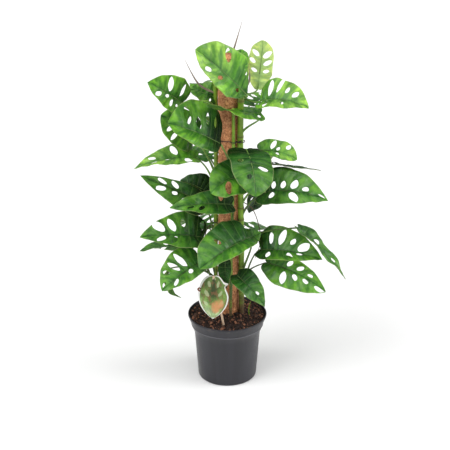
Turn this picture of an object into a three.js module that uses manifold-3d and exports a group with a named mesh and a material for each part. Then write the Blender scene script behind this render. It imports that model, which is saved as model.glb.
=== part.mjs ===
// A potted Swiss cheese vine, trained up a coir pole in a plain nursery pot.
// Millimetres, +Z up, the origin at the centre of the pot's underside, the front towards -Y.
// Every leaf is one solid, its stalk and its perforated blade grown together, and stands on one of
// four stems. The stems and the pole stand in plain holes in the soil.
import * as THREE from "three";
import { mergeVertices } from "three/addons/utils/BufferGeometryUtils.js";
import Module from "manifold-3d";

const wasm = await Module();
wasm.setup();

// Driving dimensions

const FIT_GAP = 0.3; // air left between pieces that touch on the real plant

const POT = {
  rimRadius: 85,
  height: 147.5,
  rimEase: 0.7,
  beadRadius: 78.2,
  beadHeight: 124,
  beadDepth: 1.5,
  bodyTopRadius: 71,
  bodyTopHeight: 106,
  footRadius: 63.5,
  footRounding: 4,
  wall: 1.6,
  floor: 3,
  lip: 2.2,
  sides: 34,
  drainCount: 6,
  drainRadius: 5,
  drainCircle: 44,
};

// The soil is heaped round the pole: top is its height at the wall, mound how much higher the middle is.
const SOIL = { top: 143, mound: 15, lump: 2.4, gap: 0.5, rings: [20, 32, 44, 56, 68], sides: 26 };

const POLE = { x: 3, radius: 22.5, bottom: 8, top: 722, crown: 3, cap: 6, sides: 20 };
const CORE = { radius: 11, sides: 10 };

// Each stem climbs the pole: the bearing round the pole at the soil and how far it winds, in degrees.
const STEM_SIDES = 7;
const STEM_STEPS = 16;
const STEM_FOOT = 20;
const STEMS = {
  stem_right: { bearing: -28, wind: 8, radius: 6, top: 668 },
  stem_front: { bearing: -75, wind: -6, radius: 3.2, top: 620 },
  stem_left: { bearing: 172, wind: 10, radius: 4.4, top: 662 },
  stem_back: { bearing: 88, wind: -14, radius: 4.6, top: 706 },
};

// The blade's outline. A vein leaves the midrib at VEIN_FOOT and meets the margin at MARGIN_ALONG,
// both as shares of the blade's length, and MARGIN_OUT of the blade's width to the side.
const VEIN_FOOT = [0, 0.03, 0.12, 0.24, 0.38, 0.54, 0.73, 1];
const MARGIN_ALONG = [0, -0.05, 0.08, 0.27, 0.48, 0.68, 0.86, 1];
const MARGIN_OUT = [0, 0.24, 0.44, 0.5, 0.43, 0.3, 0.14, 0];
const PANELS = VEIN_FOOT.length - 1;
const VEIN_SWEEP = 1.3;
const BLADE_THICKNESS = 0.9;

// A blunt leaf's outline swells towards the middle of this many panels.
const SWELL_SPAN = 8.2;

// The windows between two veins, by letter: from and to as shares of the way to the margin, and the
// half width as a share of the panel. An open window breaks through the margin.
const WINDOWS = {
  n: { from: 0.12, to: 0.44, half: 0.24 },
  s: { from: 0.34, to: 0.66, half: 0.2 },
  m: { from: 0.26, to: 0.76, half: 0.22 },
  l: { from: 0.2, to: 0.86, half: 0.28 },
  x: { from: 0.14, to: 0.9, half: 0.34 },
  b: { from: 0.12, to: 0.56, half: 0.3 },
  o: { from: 0.55, to: 0.86, half: 0.22 },
  h: { from: 0.42, to: 0.92, half: 0.26 },
  e: { from: 0.56, to: 0.96, half: 0.24 },
  u: { from: 0.34, to: 1, half: 0.22, open: true },
  w: { from: 0.3, to: 1, half: 0.34, open: true },
};

// A stalk runs on under the midrib to the vein numbered intoVein, and lies sunk below the blade there.
const STALK = { footRadius: 2.6, neckRadius: 1.7, sides: 4, steps: 5, intoVein: 1.7, sunk: 0.6 };

// The leaves. stem and at: where the stalk leaves, as a stem and a height. base and tip: the blade's
// two ends. face: where the upper side looks. arch, bend: how far the midrib bows out of the blade
// and sideways, as a share of its length. fold, curl: how far each half rises at the midrib and
// turns further towards the margin, in degrees. twist: the turn from base to tip, in degrees.
// lop: how much wider the right half is than the left. round: how blunt the outline is, 0 to 1.
// taper: how much the blade narrows to its base, 0 to 1. sweep: how far the margin lies towards the
// tip, as a share of the length. wave: the height of the margin's ripple.
// windows: one letter a panel, right half and left half.
const LEAVES = {
  top_front: {
    stem: "stem_right", at: 634, base: [39, -45, 653], tip: [-61, -85, 758], width: 99, lop: 0.07,
    taper: 0.98, face: [0.6, -0.67, 0.4], arch: 0.04, round: 0.7, sweep: 0.1,
    windows: ["..e.h..", "..n.so."],
  },
  upright: {
    stem: "stem_right", at: 632, base: [62, 10, 652], tip: [71, 5, 751], width: 50,
    face: [0.1, 0.95, -0.1], arch: 0.05, fold: 8, round: 1, taper: 0.98,
    windows: ["...mhl.", "...mlx."],
  },
  upper_right: {
    stem: "stem_back", at: 612, base: [67, -22, 634], tip: [161, -62, 632], width: 78, lop: -0.22,
    face: [-0.15, -0.47, 0.87], arch: 0.13, round: 0.4, windows: [".ml.s..", "..xusm."],
  },
  upper_left: {
    stem: "stem_left", at: 560, base: [-90, -18, 628], tip: [-157, -48, 680], width: 76, lop: 0.1,
    face: [0.45, -0.78, 0.4], round: 0.45, windows: ["..l.x..", "..smnl."],
  },
  left_cup: {
    stem: "stem_front", at: 470, base: [-13, -44, 550], tip: [-116, -96, 613], width: 106,
    lop: 0.3, sweep: 0.12, face: [0.5, -0.6, 0.62], arch: 0.06, round: 0.7, taper: 0.2,
    windows: ["..ssnl.", "......."],
  },
  left_behind: {
    stem: "stem_left", at: 460, base: [-66, 10, 548], tip: [-134, -10, 600], width: 84, lop: -0.15,
    sweep: 0.06, face: [0.5, -0.78, 0.4], round: 0.8, windows: ["..mm...", "....hm."],
  },
  left_long: {
    stem: "stem_left", at: 430, base: [-62, -24, 512], tip: [-188, -60, 503], width: 72, lop: 0.04,
    face: [-0.05, -0.25, 0.97], arch: 0.08, round: 0, windows: ["...l.m.", "..x.ns."],
  },
  pole_cross: {
    stem: "stem_right", at: 558, base: [67, -30, 610], tip: [-48, -62, 646], width: 70, lop: 0.1,
    face: [0.25, -0.2, 0.94], arch: -0.06, twist: 50, fold: 2, windows: [".......", ".s....."],
  },
  left_top_small: {
    stem: "stem_back", at: 575, base: [-23, 12, 629], tip: [-78, 20, 645], width: 52,
    face: [0.12, -0.67, 0.73], windows: ["..sm...", "..ss..."],
  },
  centre_left: {
    stem: "stem_right", at: 400, base: [54, -50, 472], tip: [-33, -115, 473], width: 94, lop: -0.1,
    sweep: 0.05, face: [0.2, -0.5, 0.84], arch: 0.14, bend: 0.1, round: 0.8, windows: [".......", ".....x."],
  },
  centre_round: {
    stem: "stem_front", at: 430, base: [38, -44, 539], tip: [56, -140, 475], width: 90,
    face: [0.25, -0.5, 0.82], arch: 0.12, fold: 4, round: 0.8, windows: ["...s.n.", "....m.."],
  },
  right_shoulder: {
    stem: "stem_back", at: 440, base: [63, -2, 522], tip: [143, -12, 505], width: 42, lop: -0.2,
    taper: 0.4, face: [0.14, -0.65, 0.75], arch: 0, bend: -0.08, round: 1,
    windows: ["....n..", "...xnh."],
  },
  right_edge: {
    stem: "stem_right", at: 445, base: [71, 8, 488], tip: [191, -26, 485], width: 50,
    face: [0.09, 0.28, 0.96], arch: 0.02, fold: 6, windows: ["..s.s..", "..s.s.."],
  },
  right_wide: {
    stem: "stem_right", at: 374, base: [71, -30, 438], tip: [204, -70, 437], width: 90, lop: -0.14,
    face: [-0.18, -0.6, 0.78], arch: 0.1, bend: -0.04, windows: ["..b.x..", "..nnbns"],
  },
  right_dark: {
    stem: "stem_back", at: 372, base: [58, 22, 424], tip: [50, 60, 356], width: 52,
    face: [0.5, -0.7, -0.2], windows: ["..s....", "......."],
  },
  left_mid: {
    stem: "stem_left", at: 320, base: [-48, -14, 409], tip: [-176, -50, 485], width: 60,
    face: [0.46, -0.79, 0.41], arch: 0.04, lop: -0.25, windows: ["....ll.", "...mnl."],
  },
  left_mid_low: {
    stem: "stem_front", at: 374, base: [8, -48, 420], tip: [-117, -85, 428], width: 56,
    face: [0.24, -0.62, 0.75], windows: ["..l....", "....mm."],
  },
  left_mid_back: {
    stem: "stem_back", at: 350, base: [-42, 16, 422], tip: [-99, 40, 439], width: 62,
    face: [-0.07, -0.66, 0.75], arch: 0.1, windows: [".......", "......."],
  },
  left_low: {
    stem: "stem_left", at: 235, base: [-50, -16, 332], tip: [-181, -55, 350], width: 88, lop: 0.18,
    face: [0.29, -0.57, 0.77], fold: 22, windows: [".h.slw.", "....ll."],
  },
  left_low_back: {
    stem: "stem_left", at: 200, base: [-76, 34, 280], tip: [-188, 22, 283], width: 66,
    face: [0.03, 0.02, 1], windows: ["..m.m..", "....u.."],
  },
  left_bottom: {
    stem: "stem_left", at: 180, base: [-55, -40, 286], tip: [-135, -95, 246], width: 82, lop: 0.25,
    face: [-0.05, -0.54, 0.84], round: 0.5, windows: ["...xlos", "...b.l."],
  },
  left_curl: {
    stem: "stem_left", at: 222, base: [-124, 6, 246], tip: [-100, 0, 180], width: 24,
    face: [-0.8, 0.3, -0.3], arch: 0.22, fold: 30, windows: [".......", "......."],
  },
  centre_low: {
    stem: "stem_right", at: 240, base: [43, -56, 349], tip: [-56, -120, 308], width: 84, lop: 0.3,
    face: [0, -0.54, 0.84], round: 0.7, windows: ["....s..", "......."],
  },
  small_lobe: {
    stem: "stem_right", at: 265, base: [39, -8, 322], tip: [70, -20, 344], width: 38,
    face: [0.1, -0.85, 0.5], round: 0.7, windows: [".......", "......."],
  },
  right_low: {
    stem: "stem_right", at: 205, base: [69, -22, 307], tip: [197, -65, 303], width: 84, lop: -0.24,
    face: [-0.2, -0.56, 0.81], arch: 0.1, fold: 24, windows: ["..m.mn.", "..mlsx."],
  },
  right_twist: {
    stem: "stem_back", at: 260, base: [146, -48, 368], tip: [243, -110, 281], width: 48,
    lop: -0.15, face: [0.58, -0.12, 0.81], arch: 0.02, bend: -0.02, round: 0, wave: 4,
    windows: [".......", "...b.s."],
  },
  right_bottom: {
    stem: "stem_back", at: 180, base: [84, -22, 276], tip: [206, -70, 231], width: 70, lop: 0.2,
    taper: 0.7, face: [0.05, -0.85, 0.52], arch: 0.06, bend: -0.05, fold: 14, round: 0.4,
    windows: ["...lnnx", "...mms."],
  },
  front_low: {
    stem: "stem_front", at: 190, base: [20, -54, 263], tip: [78, -98, 211], width: 56, lop: -0.04,
    face: [0.19, -0.64, 0.75], windows: [".......", ".....n."],
  },
  narrow_low: {
    stem: "stem_front", at: 225, base: [-4, -42, 292], tip: [-2, -62, 234], width: 30,
    face: [-0.3, -0.9, 0.3], windows: [".......", "......."],
  },
  back_top_left: {
    stem: "stem_back", at: 540, base: [-26, 70, 612], tip: [-64, 178, 600], width: 80,
    face: [-0.2, 0.3, 0.93], arch: 0.12, windows: ["..mml..", ".mllm.."],
  },
  back_top_right: {
    stem: "stem_back", at: 520, base: [46, 62, 596], tip: [112, 148, 566], width: 78,
    face: [0.3, 0.4, 0.86], arch: 0.14, windows: [".mll...", "..lmm.."],
  },
  back_high: {
    stem: "stem_back", at: 600, base: [8, 66, 656], tip: [30, 150, 690], width: 66,
    face: [0, -0.3, 0.95], arch: 0.1, windows: ["..mm...", "..ml..."],
  },
  back_mid_left: {
    stem: "stem_back", at: 400, base: [-34, 68, 474], tip: [-98, 158, 456], width: 84,
    face: [-0.3, 0.4, 0.86], arch: 0.13, windows: [".mlm...", "..llm.."],
  },
  back_mid_right: {
    stem: "stem_back", at: 385, base: [40, 72, 462], tip: [92, 172, 430], width: 84,
    face: [0.2, 0.5, 0.84], arch: 0.14, windows: ["..lll..", ".mml..."],
  },
  back_centre: {
    stem: "stem_back", at: 462, base: [-6, 76, 530], tip: [-22, 172, 522], width: 82,
    face: [0.1, 0.3, 0.95], arch: 0.12, windows: [".llm...", "..mls.."],
  },
  back_centre_low: {
    stem: "stem_back", at: 310, base: [6, 78, 384], tip: [24, 170, 366], width: 84,
    face: [-0.1, 0.35, 0.93], arch: 0.13, windows: ["..lml..", ".mls..."],
  },
  back_low_left: {
    stem: "stem_back", at: 245, base: [-38, 66, 316], tip: [-104, 150, 286], width: 86,
    face: [-0.3, 0.5, 0.8], arch: 0.14, windows: [".mll...", "..lml.."],
  },
  back_low_right: {
    stem: "stem_back", at: 225, base: [40, 66, 300], tip: [112, 146, 262], width: 86,
    face: [0.35, 0.5, 0.8], arch: 0.14, windows: ["..llm..", ".mlm..."],
  },
};

// Rolled new leaves, from a stem's height through a bend to a sharp tip.
const SPEAR = { footRadius: 2.4, tipRadius: 0.5, sides: 5, steps: 8 };
const SPEARS = {
  spear_top: { stem: "stem_back", at: 690, bend: [14, 30, 728], tip: [30, 24, 786] },
  spear_left: { stem: "stem_left", at: 640, bend: [-58, 2, 662], tip: [-85, -2, 714] },
  spear_right: { stem: "stem_right", at: 645, bend: [44, -10, 672], tip: [42, -8, 706] },
};

// Thin aerial roots that hang from the stems.
const ROOT = { radius: 0.9, sides: 4, steps: 9 };
const ROOTS = {
  root_right: {
    stem: "stem_right", at: 415, path: [[52, -4, 392], [66, 2, 352], [70, 8, 310], [58, 14, 266]],
  },
  root_left: {
    stem: "stem_left", at: 350, path: [[-38, 14, 346], [-46, 18, 326], [-48, 18, 300], [-40, 20, 270]],
  },
};

// Wire ties: a ring round the pole and the stems, drawn in to the pole between them.
const TIE = { radius: 1.1, slack: 1.6, around: 28, sides: 4 };
const TIES = { tie_upper: 547, tie_lower: 360 };

// The care label: a leaf-shaped card threaded on a flat wooden stick.
const LABEL = {
  width: 66,
  height: 94,
  thickness: 0.8,
  centre: [-29, -74, 222],
  lean: 14,
  turn: -6,
  curveSegments: 6,
};
const STICK = { width: 4.5, thickness: 1.6, point: 6.8, foot: [-1.3, -56, 112], head: [-29, -64, 266] };

// The card's outline as shares of its width and height: from the tip at the bottom up its right side
// to the notch at the top. Each row holds the two handles of a curve and the point that it reaches.
const LABEL_TIP = [0, -0.5];
const LABEL_SIDE = [
  [[0.3, -0.4], [0.56, -0.16], [0.48, 0.14]],
  [[0.42, 0.42], [0.16, 0.52], [0, 0.46]],
];

const COLOURS = {
  pot: 0x47484c,
  soil: 0x2e1d15,
  coir: 0xa8653c,
  core: 0xb98f5e,
  stem: 0x6f9a35,
  leaf: 0x3f8a2c,
  youngLeaf: 0x7db04a,
  spear: 0x6d6a55,
  root: 0x6b4f3a,
  tie: 0x2a2420,
  card: 0xdfe8cf,
  stick: 0xd9b48c,
};
const ROUGHNESS = { pot: 0.45, leaf: 0.4, soil: 1 };

// Helpers

// The value of a table at a fractional place, on a smooth curve through its entries.
function along(table, place) {
  const i = Math.min(Math.floor(place), table.length - 2);
  const t = place - i;
  const [a, b, c, d] = [i - 1, i, i + 1, i + 2].map(
    (k) => table[THREE.MathUtils.clamp(k, 0, table.length - 1)],
  );
  return b + 0.5 * t * (c - a + t * (2 * a - 5 * b + 4 * c - d + t * (3 * (b - c) + d - a)));
}

// A closed geometry as a solid that can be joined and cut.
function solid(geometry) {
  const bare = geometry.clone();
  bare.deleteAttribute("normal");
  bare.deleteAttribute("uv");
  const merged = mergeVertices(bare, 1e-4);
  return new wasm.Manifold(
    new wasm.Mesh({
      numProp: 3,
      vertProperties: new Float32Array(merged.attributes.position.array),
      triVerts: new Uint32Array(merged.index.array),
    }),
  );
}

// A named mesh of a solid.
function piece(name, body, colour, roughness = 0.8) {
  const { vertProperties, triVerts } = body.getMesh();
  const geometry = new THREE.BufferGeometry();
  geometry.setAttribute("position", new THREE.BufferAttribute(vertProperties, 3));
  geometry.setIndex(new THREE.BufferAttribute(triVerts, 1));
  geometry.computeVertexNormals();
  const mesh = new THREE.Mesh(
    geometry,
    new THREE.MeshStandardMaterial({ color: colour, roughness, metalness: 0 }),
  );
  mesh.name = name;
  return mesh;
}

// The largest body of a solid, without the scraps that a cut leaves.
function largest(body) {
  return body.decompose().reduce((a, b) => (a.volume() > b.volume() ? a : b));
}

// A regular polygon as an outline to extrude.
function polygon(radius, sides) {
  const outline = new THREE.Shape();
  for (let i = 0; i < sides; i++) {
    const a = (i / sides) * 2 * Math.PI;
    const corner = [radius * Math.cos(a), radius * Math.sin(a)];
    if (i === 0) outline.moveTo(...corner);
    else outline.lineTo(...corner);
  }
  outline.closePath();
  return outline;
}

// A closed tube along a curve, radiusAt giving its radius from the start (0) to the end (1).
function tube(curve, steps, sides, radiusAt) {
  const geometry = new THREE.ExtrudeGeometry(polygon(1, sides), { steps, extrudePath: curve });
  const centres = curve.getSpacedPoints(steps);
  const position = geometry.getAttribute("position");
  const corner = new THREE.Vector3();
  for (let i = 0; i < position.count; i++) {
    corner.fromBufferAttribute(position, i);
    let ring = 0;
    centres.forEach((centre, k) => {
      if (centre.distanceTo(corner) < centres[ring].distanceTo(corner)) ring = k;
    });
    corner.sub(centres[ring]).multiplyScalar(radiusAt(ring / steps)).add(centres[ring]);
    position.setXYZ(i, ...corner);
  }
  return solid(geometry);
}

// A solid of revolution about +Z from [radius, height] pairs.
function turned(profile, sides, x = 0) {
  const geometry = new THREE.LatheGeometry(
    profile.map(([r, z]) => new THREE.Vector2(r, z)),
    sides,
  );
  geometry.rotateX(Math.PI / 2);
  geometry.translate(x, 0, 0);
  return solid(geometry);
}

// A closed shell of even thickness about an open sheet of points and triangles, alike on both faces.
function shell(points, triangles, thickness) {
  const sheet = new THREE.BufferGeometry().setFromPoints(points);
  sheet.setIndex(triangles.flat());
  sheet.computeVertexNormals();
  const normal = sheet.getAttribute("normal");
  const offset = points.map((_, i) =>
    new THREE.Vector3().fromBufferAttribute(normal, i).multiplyScalar(thickness / 2),
  );
  const corners = [
    ...points.map((p, i) => p.clone().add(offset[i])),
    ...points.map((p, i) => p.clone().sub(offset[i])),
  ];
  const below = points.length;
  const faces = [];
  const edges = new Map();
  for (const [a, b, c] of triangles) {
    faces.push([a, b, c], [below + a, below + c, below + b]);
    for (const [p, q] of [[a, b], [b, c], [c, a]]) {
      if (!edges.delete(`${q} ${p}`)) edges.set(`${p} ${q}`, [p, q]);
    }
  }
  for (const [p, q] of edges.values()) {
    faces.push([q, p, below + p], [q, below + p, below + q]);
  }
  const geometry = new THREE.BufferGeometry().setFromPoints(corners);
  geometry.setIndex(faces.flat());
  return solid(geometry);
}

// Pot

// The pot's inner wall from the floor to the rim, as [radius, height] pairs.
function potInside() {
  const { wall, floor, lip, rimRadius, rimEase, height, beadRadius, beadHeight } = POT;
  const { bodyTopRadius, bodyTopHeight, footRadius, footRounding } = POT;
  return [
    [footRadius - 2 * wall, floor],
    [footRadius - wall, footRounding],
    [bodyTopRadius - wall, bodyTopHeight],
    [beadRadius - wall - rimEase, beadHeight],
    [rimRadius - lip - rimEase, height - lip],
  ];
}

function pot() {
  const { floor, lip, rimRadius, rimEase, height, beadRadius, beadHeight, beadDepth } = POT;
  const { bodyTopRadius, bodyTopHeight, footRadius, footRounding } = POT;
  const quarter = 1 - Math.SQRT1_2;
  const body = turned(
    [
      [0, 0],
      [footRadius - footRounding, 0],
      [footRadius - quarter * footRounding, quarter * footRounding],
      [footRadius, footRounding],
      [bodyTopRadius, bodyTopHeight],
      [beadRadius - beadDepth, beadHeight - 2 * beadDepth],
      [beadRadius, beadHeight - beadDepth / 2],
      [beadRadius, beadHeight + beadDepth / 2],
      [beadRadius - rimEase, beadHeight + beadDepth],
      [rimRadius - rimEase, height - 2 * lip],
      [rimRadius, height - lip],
      [rimRadius - rimEase, height],
      [rimRadius - lip, height],
      ...potInside().reverse(),
      [0, floor],
    ],
    POT.sides,
  );
  let drained = body;
  for (let i = 0; i < POT.drainCount; i++) {
    const bearing = ((i + 0.5) / POT.drainCount) * 2 * Math.PI;
    const drill = new THREE.CylinderGeometry(POT.drainRadius, POT.drainRadius, 4 * floor, 8);
    drill.rotateX(Math.PI / 2);
    drill.translate(POT.drainCircle * Math.cos(bearing), POT.drainCircle * Math.sin(bearing), 0);
    drained = drained.subtract(solid(drill));
  }
  return drained;
}

// Pole

function coirSleeve() {
  const { radius, bottom, top, crown, cap, sides, x } = POLE;
  const bore = CORE.radius + FIT_GAP;
  return turned(
    [
      [bore, bottom],
      [radius, bottom],
      [radius, top - crown],
      [radius - crown, top],
      [0, top],
      [0, top - cap],
      [bore, top - cap],
      [bore, bottom],
    ],
    sides,
    x,
  );
}

function poleCore() {
  const low = POLE.bottom - 3;
  const high = POLE.top - POLE.cap - FIT_GAP;
  return turned([[0, low], [CORE.radius, low], [CORE.radius, high], [0, high]], CORE.sides, POLE.x);
}

// Stems

// The centre of a stem at a height: it winds round the pole, just clear of it.
function stemCentre({ bearing, wind, radius }, z) {
  const turn = THREE.MathUtils.degToRad(bearing + wind * Math.sin((z / POLE.top) * 2 * Math.PI));
  const out = POLE.radius + radius + 2 * FIT_GAP;
  return new THREE.Vector3(POLE.x + out * Math.cos(turn), out * Math.sin(turn), z);
}

function stem(row, grow = 0) {
  const heights = Array.from(
    { length: STEM_STEPS + 1 },
    (_, i) => STEM_FOOT - grow + ((row.top - STEM_FOOT + 2 * grow) * i) / STEM_STEPS,
  );
  const route = new THREE.CatmullRomCurve3(heights.map((z) => stemCentre(row, z)));
  return tube(route, STEM_STEPS, STEM_SIDES, () => row.radius + grow);
}

// Leaves

// A leaf's directions: along the blade, out of its upper side, and to its right.
function bladeFrame({ base, tip, face }) {
  const start = new THREE.Vector3(...base);
  const run = new THREE.Vector3(...tip).sub(start);
  const length = run.length();
  const ahead = run.normalize();
  const up = new THREE.Vector3(...face);
  up.addScaledVector(ahead, -up.dot(ahead)).normalize();
  const side = new THREE.Vector3().crossVectors(ahead, up);
  return { start, length, ahead, up, side };
}

// The point of the blade at vein place s and share v of the way to the margin, left half negative.
function bladePoint(leaf, frame, s, v) {
  const { width, lop = 0, round = 0.2, taper = 0, sweep = 0, arch = 0.08, bend = 0 } = leaf;
  const { fold = 20, curl = -12, twist = 0, wave = 2.5 } = leaf;
  const { start, length, ahead, up, side } = frame;
  const foot = along(VEIN_FOOT, s);
  const swept = (along(MARGIN_ALONG, s) - foot) * Math.abs(v) ** VEIN_SWEEP;
  const t = foot + swept + sweep * (1 - foot) * Math.abs(v);
  const bow = 4 * t * (t > 0 ? 1 - t : 1);
  const slope = 4 * (1 - 2 * Math.max(t, 0));
  const midrib = start
    .clone()
    .addScaledVector(ahead, length * t)
    .addScaledVector(up, length * arch * bow)
    .addScaledVector(side, length * bend * bow);
  const forward = ahead.clone().addScaledVector(up, arch * slope).normalize();
  const turn = THREE.MathUtils.degToRad(twist * t);
  const across = side.clone().applyAxisAngle(forward, turn);
  const above = new THREE.Vector3().crossVectors(across, forward).normalize();
  const blunt = round * Math.sin((Math.PI * s) / SWELL_SPAN);
  const fullness = 0.5 * (2 * Math.max(along(MARGIN_OUT, s), 0)) ** (1 - blunt);
  const narrowed = 1 - taper * Math.max(1 - s / 3, 0);
  const out = width * (1 + lop * Math.sign(v)) * fullness * narrowed * v;
  const rise = THREE.MathUtils.degToRad(fold + (curl * Math.abs(v)) / 2);
  const ripple = wave * v * v * Math.sin(2.4 * s + (v > 0 ? 0 : 2)) * Math.sin((Math.PI * s) / PANELS);
  return midrib
    .addScaledVector(across, out * Math.cos(rise))
    .addScaledVector(above, Math.abs(out) * Math.sin(rise) + ripple);
}

// The blade's sheet in vein coordinates: each panel is a hexagon, split round its window.
function bladeSheet(windows) {
  const places = [];
  const triangles = [];
  const index = new Map();
  const vertex = (s, v) => {
    const key = s === 0 || s === PANELS ? `${s}` : `${s.toFixed(3)} ${v.toFixed(3)}`;
    if (!index.has(key)) {
      index.set(key, places.length);
      places.push([s, v]);
    }
    return index.get(key);
  };
  const face = (a, b, c, side) => {
    if (a === b || b === c || c === a) return;
    triangles.push(side > 0 ? [a, b, c] : [a, c, b]);
  };
  windows.forEach((letters, half) => {
    const side = half === 0 ? 1 : -1;
    for (let i = 0; i < PANELS; i++) {
      const rim = [[i, 0], [i, 0.5], [i, 1], [i + 1, 1], [i + 1, 0.5], [i + 1, 0]];
      const outer = rim.map(([s, v]) => vertex(s, side * v));
      const hole = WINDOWS[letters[i]];
      if (!hole) {
        face(outer[0], outer[4], outer[5], side);
        face(outer[0], outer[1], outer[4], side);
        face(outer[1], outer[3], outer[4], side);
        face(outer[1], outer[2], outer[3], side);
        continue;
      }
      const middle = hole.open ? hole.to : (hole.from + hole.to) / 2;
      const reach = hole.open ? hole.to - hole.from : (hole.to - hole.from) / 2;
      const inner = rim.map(([s, v]) => {
        const slant = v === 0.5 ? 1 : 0.5;
        const up = hole.open ? { 0: -1, 0.5: -0.5, 1: 0 }[v] : { 0: -0.87, 0.5: 0, 1: 0.87 }[v];
        const place = i + 0.5 + (s === i ? -1 : 1) * slant * hole.half;
        return vertex(place, side * (middle + up * reach));
      });
      for (let k = 0; k < rim.length; k++) {
        if (hole.open && k === 2) continue;
        const next = (k + 1) % rim.length;
        face(outer[k], outer[next], inner[next], side);
        face(outer[k], inner[next], inner[k], side);
      }
    }
  });
  return { places, triangles };
}

function leafStalk(leaf, frame) {
  const { start, ahead, up } = frame;
  const foot = stemCentre(STEMS[leaf.stem], leaf.at);
  const outward = new THREE.Vector3(start.x - POLE.x, start.y, 0).normalize();
  const span = foot.distanceTo(start);
  const leave = foot.clone().addScaledVector(outward, 0.12 * span);
  leave.z += 0.4 * span;
  const arrive = start.clone().addScaledVector(ahead, -0.22 * span).addScaledVector(up, -0.1 * span);
  arrive.z -= 0.12 * span;
  const route = new THREE.CurvePath();
  route.add(new THREE.CubicBezierCurve3(foot, leave, arrive, start));
  const end = bladePoint(leaf, frame, STALK.intoVein, 0).addScaledVector(up, -STALK.sunk);
  route.add(new THREE.LineCurve3(start, end));
  const points = route.getSpacedPoints(STALK.steps * 3);
  return tube(new THREE.CatmullRomCurve3(points), STALK.steps, STALK.sides, (u) =>
    THREE.MathUtils.lerp(STALK.footRadius, STALK.neckRadius, u),
  );
}

function leaf(row) {
  const frame = bladeFrame(row);
  const { places, triangles } = bladeSheet(row.windows);
  const points = places.map(([s, v]) => bladePoint(row, frame, s, v));
  return shell(points, triangles, BLADE_THICKNESS).add(leafStalk(row, frame));
}

function spear({ stem: name, at, bend, tip }) {
  const route = new THREE.CatmullRomCurve3([
    stemCentre(STEMS[name], at),
    new THREE.Vector3(...bend),
    new THREE.Vector3(...tip),
  ]);
  return tube(route, SPEAR.steps, SPEAR.sides, (u) =>
    THREE.MathUtils.lerp(SPEAR.footRadius, SPEAR.tipRadius, u),
  );
}

function aerialRoot({ stem: name, at, path }) {
  const route = new THREE.CatmullRomCurve3([
    stemCentre(STEMS[name], at),
    ...path.map((p) => new THREE.Vector3(...p)),
  ]);
  return tube(route, ROOT.steps, ROOT.sides, () => ROOT.radius);
}

// Ties

function tie(z) {
  const ring = new THREE.TorusGeometry(1, 1, TIE.sides, TIE.around);
  const position = ring.getAttribute("position");
  const clear = FIT_GAP + TIE.radius;
  for (let i = 0; i < position.count; i++) {
    const k = i % (TIE.around + 1);
    const j = Math.floor(i / (TIE.around + 1));
    const bearing = (k / TIE.around) * 2 * Math.PI;
    const round = (j / TIE.sides) * 2 * Math.PI;
    const heading = new THREE.Vector3(Math.cos(bearing), Math.sin(bearing), 0);
    let out = POLE.radius + clear + FIT_GAP;
    for (const row of Object.values(STEMS)) {
      const centre = stemCentre(row, z).sub(new THREE.Vector3(POLE.x, 0, z));
      const ahead = centre.dot(heading);
      const off = Math.sqrt(Math.max(centre.lengthSq() - ahead * ahead, 0));
      const cover = row.radius + clear + TIE.slack;
      if (ahead > 0 && off < cover) out = Math.max(out, ahead + Math.sqrt(cover ** 2 - off ** 2));
    }
    const radius = out + TIE.radius * Math.cos(round);
    position.setXYZ(
      i,
      POLE.x + radius * heading.x,
      radius * heading.y,
      z + TIE.radius * Math.sin(round),
    );
  }
  return solid(ring);
}

// Label

function labelCard() {
  const { width, height, thickness, centre, lean, turn, curveSegments } = LABEL;
  const at = ([x, y], side) => [side * x * width, y * height];
  const outline = new THREE.Shape();
  outline.moveTo(...at(LABEL_TIP, 1));
  for (const row of LABEL_SIDE) outline.bezierCurveTo(...row.flatMap((point) => at(point, 1)));
  const back = [LABEL_TIP, ...LABEL_SIDE.flat()].reverse().slice(1);
  for (let i = 0; i < back.length; i += 3) {
    outline.bezierCurveTo(...back.slice(i, i + 3).flatMap((point) => at(point, -1)));
  }
  const geometry = new THREE.ExtrudeGeometry(outline, {
    depth: thickness,
    bevelEnabled: false,
    curveSegments,
  });
  geometry.translate(0, 0, -thickness / 2);
  geometry.rotateX(Math.PI / 2 - THREE.MathUtils.degToRad(lean));
  geometry.rotateZ(THREE.MathUtils.degToRad(turn));
  geometry.translate(...centre);
  return solid(geometry);
}

function stick(grow = 0) {
  const { width, thickness, point, foot, head } = STICK;
  const low = new THREE.Vector3(...foot);
  const high = new THREE.Vector3(...head);
  const rise = high.clone().sub(low);
  const length = rise.length();
  const half = width / 2 + grow;
  const outline = new THREE.Shape();
  outline.moveTo(0, -grow);
  outline.lineTo(half, point);
  outline.lineTo(half, length + grow);
  outline.lineTo(-half, length + grow);
  outline.lineTo(-half, point);
  outline.closePath();
  const geometry = new THREE.ExtrudeGeometry(outline, {
    depth: thickness + 2 * grow,
    bevelEnabled: false,
  });
  geometry.translate(0, 0, -thickness / 2 - grow);
  const upright = new THREE.Quaternion().setFromUnitVectors(
    new THREE.Vector3(0, 1, 0),
    rise.normalize(),
  );
  geometry.applyQuaternion(upright);
  geometry.translate(...low);
  return solid(geometry);
}

// Soil

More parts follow.
